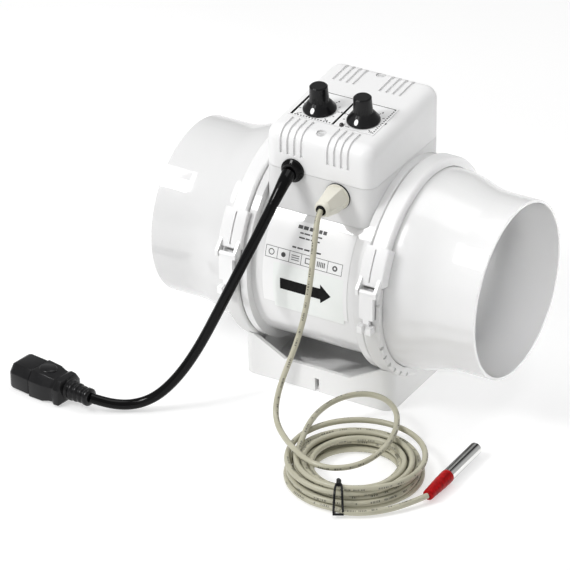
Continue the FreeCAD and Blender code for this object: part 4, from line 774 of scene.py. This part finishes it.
def makeJacket():
    look = sensorCord["jacket"]
    material, tree, shader = newMaterial("sensorJacket")
    coordinates = tree.nodes.new("ShaderNodeTexCoord")
    place = coordinates.outputs["Object"]
    noise = addNoise(tree, place, look["toneScale"], sharedLook["detail"])
    jacket = addBlend(tree, addRange(tree, noise, 0, 1), *look["tones"])
    split = tree.nodes.new("ShaderNodeSeparateXYZ")
    tree.links.new(coordinates.outputs["UV"], split.inputs["Vector"])
    mask = addPrint(tree, split.outputs["X"], split.outputs["Y"])
    dark = addMath(tree, "MULTIPLY", mask, sensorCord["print"]["share"])
    tree.links.new(addBlend(tree, dark, jacket, sensorCord["print"]["ink"]), shader.inputs["Base Color"])
    gloss = addRange(tree, addNoise(tree, place, look["glossScale"]), *look["rough"])
    tree.links.new(gloss, shader.inputs["Roughness"])
    addBump(tree, shader, addNoise(tree, place, look["grainScale"]), look["grain"])
    return material


surfaces["sensorJacket"] = makeJacket()
sensorRoute = sensorCord["lead"] + coilPoints() + sensorCord["tail"]


def makeSensorCord():
    data = cordLine(sensorRoute, "sensorCord")
    thicken(data, sensorCord["diameter"] / 2)
    return addPiece("sensorCord", data, surfaces["sensorJacket"], "housing", "sensor_beige", "sensor_lead",
                    "sensor_coil", "sensor_tail")


sensor = makeSensorCord()
sensorPath = pathOf(sensorRoute)
print(f"sensor cord laid, {lengthOf(sensorPath):.3f} m")

# wire tie: two strands round the bundle, twisted together on its inner top edge
wireTie = {
    "spot": -76, "radius": 0.0405, "turn": -62, "wire": 0.0008, "gap": 0.005,
    # reach from the middle of the bundle, height, and share of the gap between the strands
    "loop": [(-0.0026, 0.016, 0.3), (-0.001, 0.0174, 0.55), (0.0028, 0.0172, 0.85), (0.0074, 0.015, 1.0),
             (0.0112, 0.009, 1.1), (0.0112, 0.0012, 1.3), (0.004, 0.0009, 0.6), (-0.0062, 0.0014, 0.4),
             (-0.0086, 0.007, 0.3)],
    # small bar across the feet: reach, height and half length
    "foot": (0.012, 0.0022, 0.0036),
    # twisted ends: reach and lift from the loop's first point, rise along them, and spread in wires
    "knot": {"turns": 2.5, "length": 0.0052, "steps": 22, "reach": 0.003, "lift": 0.0014, "rise": 0.0004,
             "spread": 1.1},
}


def makeTie():
    look, knot = wireTie, wireTie["knot"]
    data = newCurve("wireTie")
    spot, turn = math.radians(look["spot"]), math.radians(look["turn"])
    middle = Vector((*coilLook["centre"], 0)) / 1000
    middle += look["radius"] * Vector((math.cos(spot), math.sin(spot), 0))
    out, side = Vector((math.cos(turn), math.sin(turn), 0)), Vector((-math.sin(turn), math.cos(turn), 0))
    up = Vector((0, 0, 1))
    for way in (-1, 1):
        points = [middle + out * reach + side * way * apart * look["gap"] / 2 + up * height
                  for reach, height, apart in look["loop"]]
        addLine(data, points).use_cyclic_u = True
    begin, top, _ = look["loop"][0]
    spread = look["wire"] * knot["spread"]
    for phase in (0, math.pi):
        points = []
        for index in range(knot["steps"]):
            share = index / (knot["steps"] - 1)
            angle = phase + 2 * math.pi * knot["turns"] * share
            reach = begin + knot["reach"] - knot["length"] * share
            height = top + knot["lift"] + knot["rise"] * share + spread * math.sin(angle)
            points.append(middle + out * reach + side * spread * math.cos(angle) + up * height)
        addLine(data, points).use_endpoint_u = True
    reach, height, half = look["foot"]
    addLine(data, [middle + out * reach + side * way * half + up * height for way in (-1, 1)], "POLY")
    thicken(data, look["wire"], 3)
    return addPiece("wireTie", data, surfaces["blackPlastic"], "housing", "tie_black", "coil_tie")


tie = makeTie()

# shrink sleeve over the end of the sensor cord
shrinkSleeve = {
    "start": (0.1304, -0.1364, 0.00475),
    "profile": [(0, 0.0022), (0.0002, 0.0034), (0.0008, 0.0037), (0.002, 0.00375), (0.0035, 0.0039),
                (0.005, 0.0038), (0.0075, 0.0041), (0.0095, 0.00405), (0.0125, 0.0044), (0.014, 0.0043),
                (0.0175, 0.0046), (0.0205, 0.00455), (0.023, 0.0047), (0.0268, 0.00468),
                (0.0274, 0.0046), (0.0275, 0.0044)],
}


def makeShrink():
    shape = turned(shrinkSleeve["profile"])
    bmesh.ops.translate(shape, verts=shape.verts, vec=shrinkSleeve["start"])
    return addPiece("shrinkSleeve", meshOf(shape, "shrinkSleeve"), surfaces["shrinkRed"], "housing",
                    "shrink_red", "heat_shrink")


shrink = makeShrink()
print("tie and sleeve made")

# print on the dial panel: the panel's place in metres, the marks in millimetres on its own plane
panelLook = {
    "height": 0.191, "front": -0.0505, "tilt": 5, "lift": 0.0002,
    "thick": 0.06,
    "bars": [(-31.9, -30.6, -30.2, 2.8), (-0.5, -31, 1, 1.4), (-29.6, 2.2, 29.6, 2.7)],
    "dots": {"lines": [(29.4, -29, 29.4, 1.6), (-28.4, -30, -2.4, -30)], "pitch": 2.1, "size": 1},
    "knobs": [(-16.5, -18), (16.5, -18)],
    "ticks": {"inner": 12.4, "outer": 13.9, "wide": 0.55, "count": 11, "first": 135, "sweep": 270},
    "figures": {"radius": 15.3, "height": 2.4, "weight": 0.05, "every": 2},
    "lampText": {"at": (10.7, -29.5), "height": 1.8},
}


def panelPlace():
    tilt = math.radians(panelLook["tilt"])
    rise = -panelLook["front"] * math.tan(tilt)
    place = Matrix.Translation((0, 0, panelLook["height"] + rise + panelLook["lift"]))
    return place @ Matrix.Rotation(tilt, 4, "X") @ Matrix.Scale(0.001, 4)


def addDots(shape, left, front, right, rear):
    dots = panelLook["dots"]
    count = int(math.hypot(right - left, rear - front) / dots["pitch"])
    half = dots["size"] / 2
    for step in range(count + 1):
        across, along = left + (right - left) * step / count, front + (rear - front) * step / count
        addBar(shape, across - half, along - half, across + half, along + half)


# ticks round a knob, with figures at every second one
def addScale(shape, across, along):
    ticks, figures = panelLook["ticks"], panelLook["figures"]
    middle = (ticks["inner"] + ticks["outer"]) / 2
    size = Matrix.Diagonal((ticks["wide"], ticks["outer"] - ticks["inner"], 1, 1))
    reach = figures["radius"]
    for step in range(ticks["count"]):
        angle = math.radians(ticks["first"] - ticks["sweep"] * step / (ticks["count"] - 1))
        place = Matrix.Translation((across, along, 0)) @ Matrix.Rotation(angle, 4, "Z")
        place = place @ Matrix.Translation((0, middle, 0)) @ size
        bmesh.ops.create_grid(shape, x_segments=1, y_segments=1, size=0.5, matrix=place)
        if step % figures["every"] == 0:
            addFigure(shape, str(step), across - reach * math.sin(angle), along + reach * math.cos(angle),
                      figures["height"], figures["weight"])


def makeDialPrint():
    look = panelLook
    shape = bmesh.new()
    for bar in look["bars"]:
        addBar(shape, *bar)
    for line in look["dots"]["lines"]:
        addDots(shape, *line)
    for across, along in look["knobs"]:
        addScale(shape, across, along)
    addFigure(shape, "ON", *look["lampText"]["at"], look["lampText"]["height"])
    thickenFlat(shape, look["thick"])
    bmesh.ops.transform(shape, verts=shape.verts, matrix=panelPlace())
    return addPiece("dialPrint", meshOf(shape, "dialPrint", False), surfaces["printInk"], "housing",
                    "print_black")


makeDialPrint()

# white pointer on the slanted skirt of each knob: the skirt's ends as distance from the axis and height
pointerLook = {"half": (0.0014, 0.0021), "inner": (0.0083, 0.005), "outer": (0.0109, 0.0016),
               "bottom": 0.0007, "lift": 0.00004, "thick": 0.00008}


def makePointer(name, body, across, along):
    look = pointerLook
    (near, high), (far, low) = look["inner"], look["outer"]
    slope = math.atan2(high - low, far - near)
    shape = bmesh.new()
    bmesh.ops.create_circle(shape, segments=28, radius=1, cap_ends=True)
    bmesh.ops.scale(shape, verts=shape.verts, vec=(*look["half"], 1))
    thickenFlat(shape, look["thick"])
    tilt = math.radians(panelLook["tilt"])
    foot = panelLook["height"] + (along - panelLook["front"]) * math.tan(tilt) + look["bottom"]
    place = Matrix.Translation((across, along, foot)) @ Matrix.Rotation(tilt, 4, "X")
    place = place @ Matrix.Translation((0, -(near + far) / 2, (high + low) / 2))
    place = place @ Matrix.Rotation(slope, 4, "X") @ Matrix.Translation((0, 0, look["lift"]))
    bmesh.ops.transform(shape, verts=shape.verts, matrix=place)
    return addPiece(name, meshOf(shape, name, False), surfaces["markWhite"], body, "panel_white")


pointers = [("temperaturePointer", "temperature_knob"), ("speedPointer", "speed_knob")]
for (name, body), (across, along) in zip(pointers, panelLook["knobs"]):
    makePointer(name, body, across / 1000, along / 1000)
print("dial print made")

# print and arrow film on the label, in millimetres along the duct and round the casing
labelLook = {
    "radius": 68.3, "thick": 0.03, "filmLift": 0.01, "printLift": 0.02,
    # ends along the duct, then low and high angle
    "film": (-24, 29, -17, 12),
    # rows of plain blocks: low and high angle, then where each block starts and ends
    "blocks": [(33.8, 35.8, [(-11, -7.6), (-6.9, -3.4), (-2.4, 0.4), (1.2, 3.8), (4.6, 7), (7.8, 10.4)]),
               (31.2, 32, [(-8.6, -6), (-5.4, -1), (-0.4, 2.2), (3, 8)]),
               (28.6, 29.4, [(-8.6, -4.2), (-3.6, -0.6), (0.2, 4), (4.8, 7)]),
               (22.6, 23.5, [(-12, -9), (-8.2, -4), (-3, 1), (1.8, 4.4), (5.2, 9.6)])],
    "row": {"left": -31, "right": 27, "low": 13.8, "high": 20.6, "wide": 0.35,
            "cells": [-22, -13, -4, 6, 16]},
    # one plain sign for each cell of the row
    "signs": {"ring": (1.6, 2.2), "disc": 1.7,
              "lines": {"half": 3, "first": -1.8, "pitch": 1.5, "wide": 0.5, "count": 3},
              "box": {"half": 2, "wide": 0.6},
              "strokes": {"half": 1.8, "first": -3, "pitch": 1.3, "wide": 0.7, "count": 5},
              "eye": (0.9, 1.9)},
}


def wrapLabel(shape, lift):
    radius = labelLook["radius"]
    for vert in shape.verts:
        bearing = vert.co.y / radius
        reach = radius + lift + vert.co.z
        vert.co = (vert.co.x / 1000, -reach * math.cos(bearing) / 1000,
                   axisZ + reach * math.sin(bearing) / 1000)
    bmesh.ops.recalc_face_normals(shape, faces=shape.faces)


def degreesToArc(angle):
    return math.radians(angle) * labelLook["radius"]


def makeFilm():
    left, right, low, high = labelLook["film"]
    shape = bmesh.new()
    addBar(shape, left, degreesToArc(low), right, degreesToArc(high), cells=24)
    thickenFlat(shape, labelLook["thick"])
    wrapLabel(shape, labelLook["filmLift"])
    return addPiece("arrowFilm", meshOf(shape, "arrowFilm", False), surfaces["arrowFilm"], "housing",
                    "label_white")


def addSigns(shape, centres, middle):
    signs = labelLook["signs"]
    lines, box, strokes = signs["lines"], signs["box"], signs["strokes"]
    addRing(shape, centres[0], middle, *signs["ring"])
    addDisc(shape, centres[1], middle, signs["disc"])
    for step in range(lines["count"]):
        front = middle + lines["first"] + lines["pitch"] * step
        addBar(shape, centres[2] - lines["half"], front, centres[2] + lines["half"], front + lines["wide"])
    addFrame(shape, centres[3] - box["half"], middle - box["half"], centres[3] + box["half"],
             middle + box["half"], box["wide"])
    for step in range(strokes["count"]):
        left = centres[4] + strokes["first"] + strokes["pitch"] * step
        addBar(shape, left, middle - strokes["half"], left + strokes["wide"], middle + strokes["half"],
               cells=2)
    addRing(shape, centres[5], middle, *signs["eye"])


def makeLabelPrint():
    look, row = labelLook, labelLook["row"]
    shape = bmesh.new()
    for low, high, blocks in look["blocks"]:
        for left, right in blocks:
            addBar(shape, left, degreesToArc(low), right, degreesToArc(high), cells=2)
    low, high, half = degreesToArc(row["low"]), degreesToArc(row["high"]), row["wide"] / 2
    addFrame(shape, row["left"], low, row["right"], high, row["wide"], cells=4)
    for place in row["cells"]:
        addBar(shape, place - half, low + row["wide"], place + half, high - row["wide"], cells=4)
    edges = [row["left"], *row["cells"], row["right"]]
    centres = [(before + after) / 2 for before, after in zip(edges, edges[1:])]
    addSigns(shape, centres, (low + high) / 2)
    thickenFlat(shape, look["thick"])
    wrapLabel(shape, look["printLift"])
    return addPiece("labelPrint", meshOf(shape, "labelPrint", False), surfaces["greyInk"], "housing",
                    "print_black")


makeFilm()
makeLabelPrint()
print("label print made")
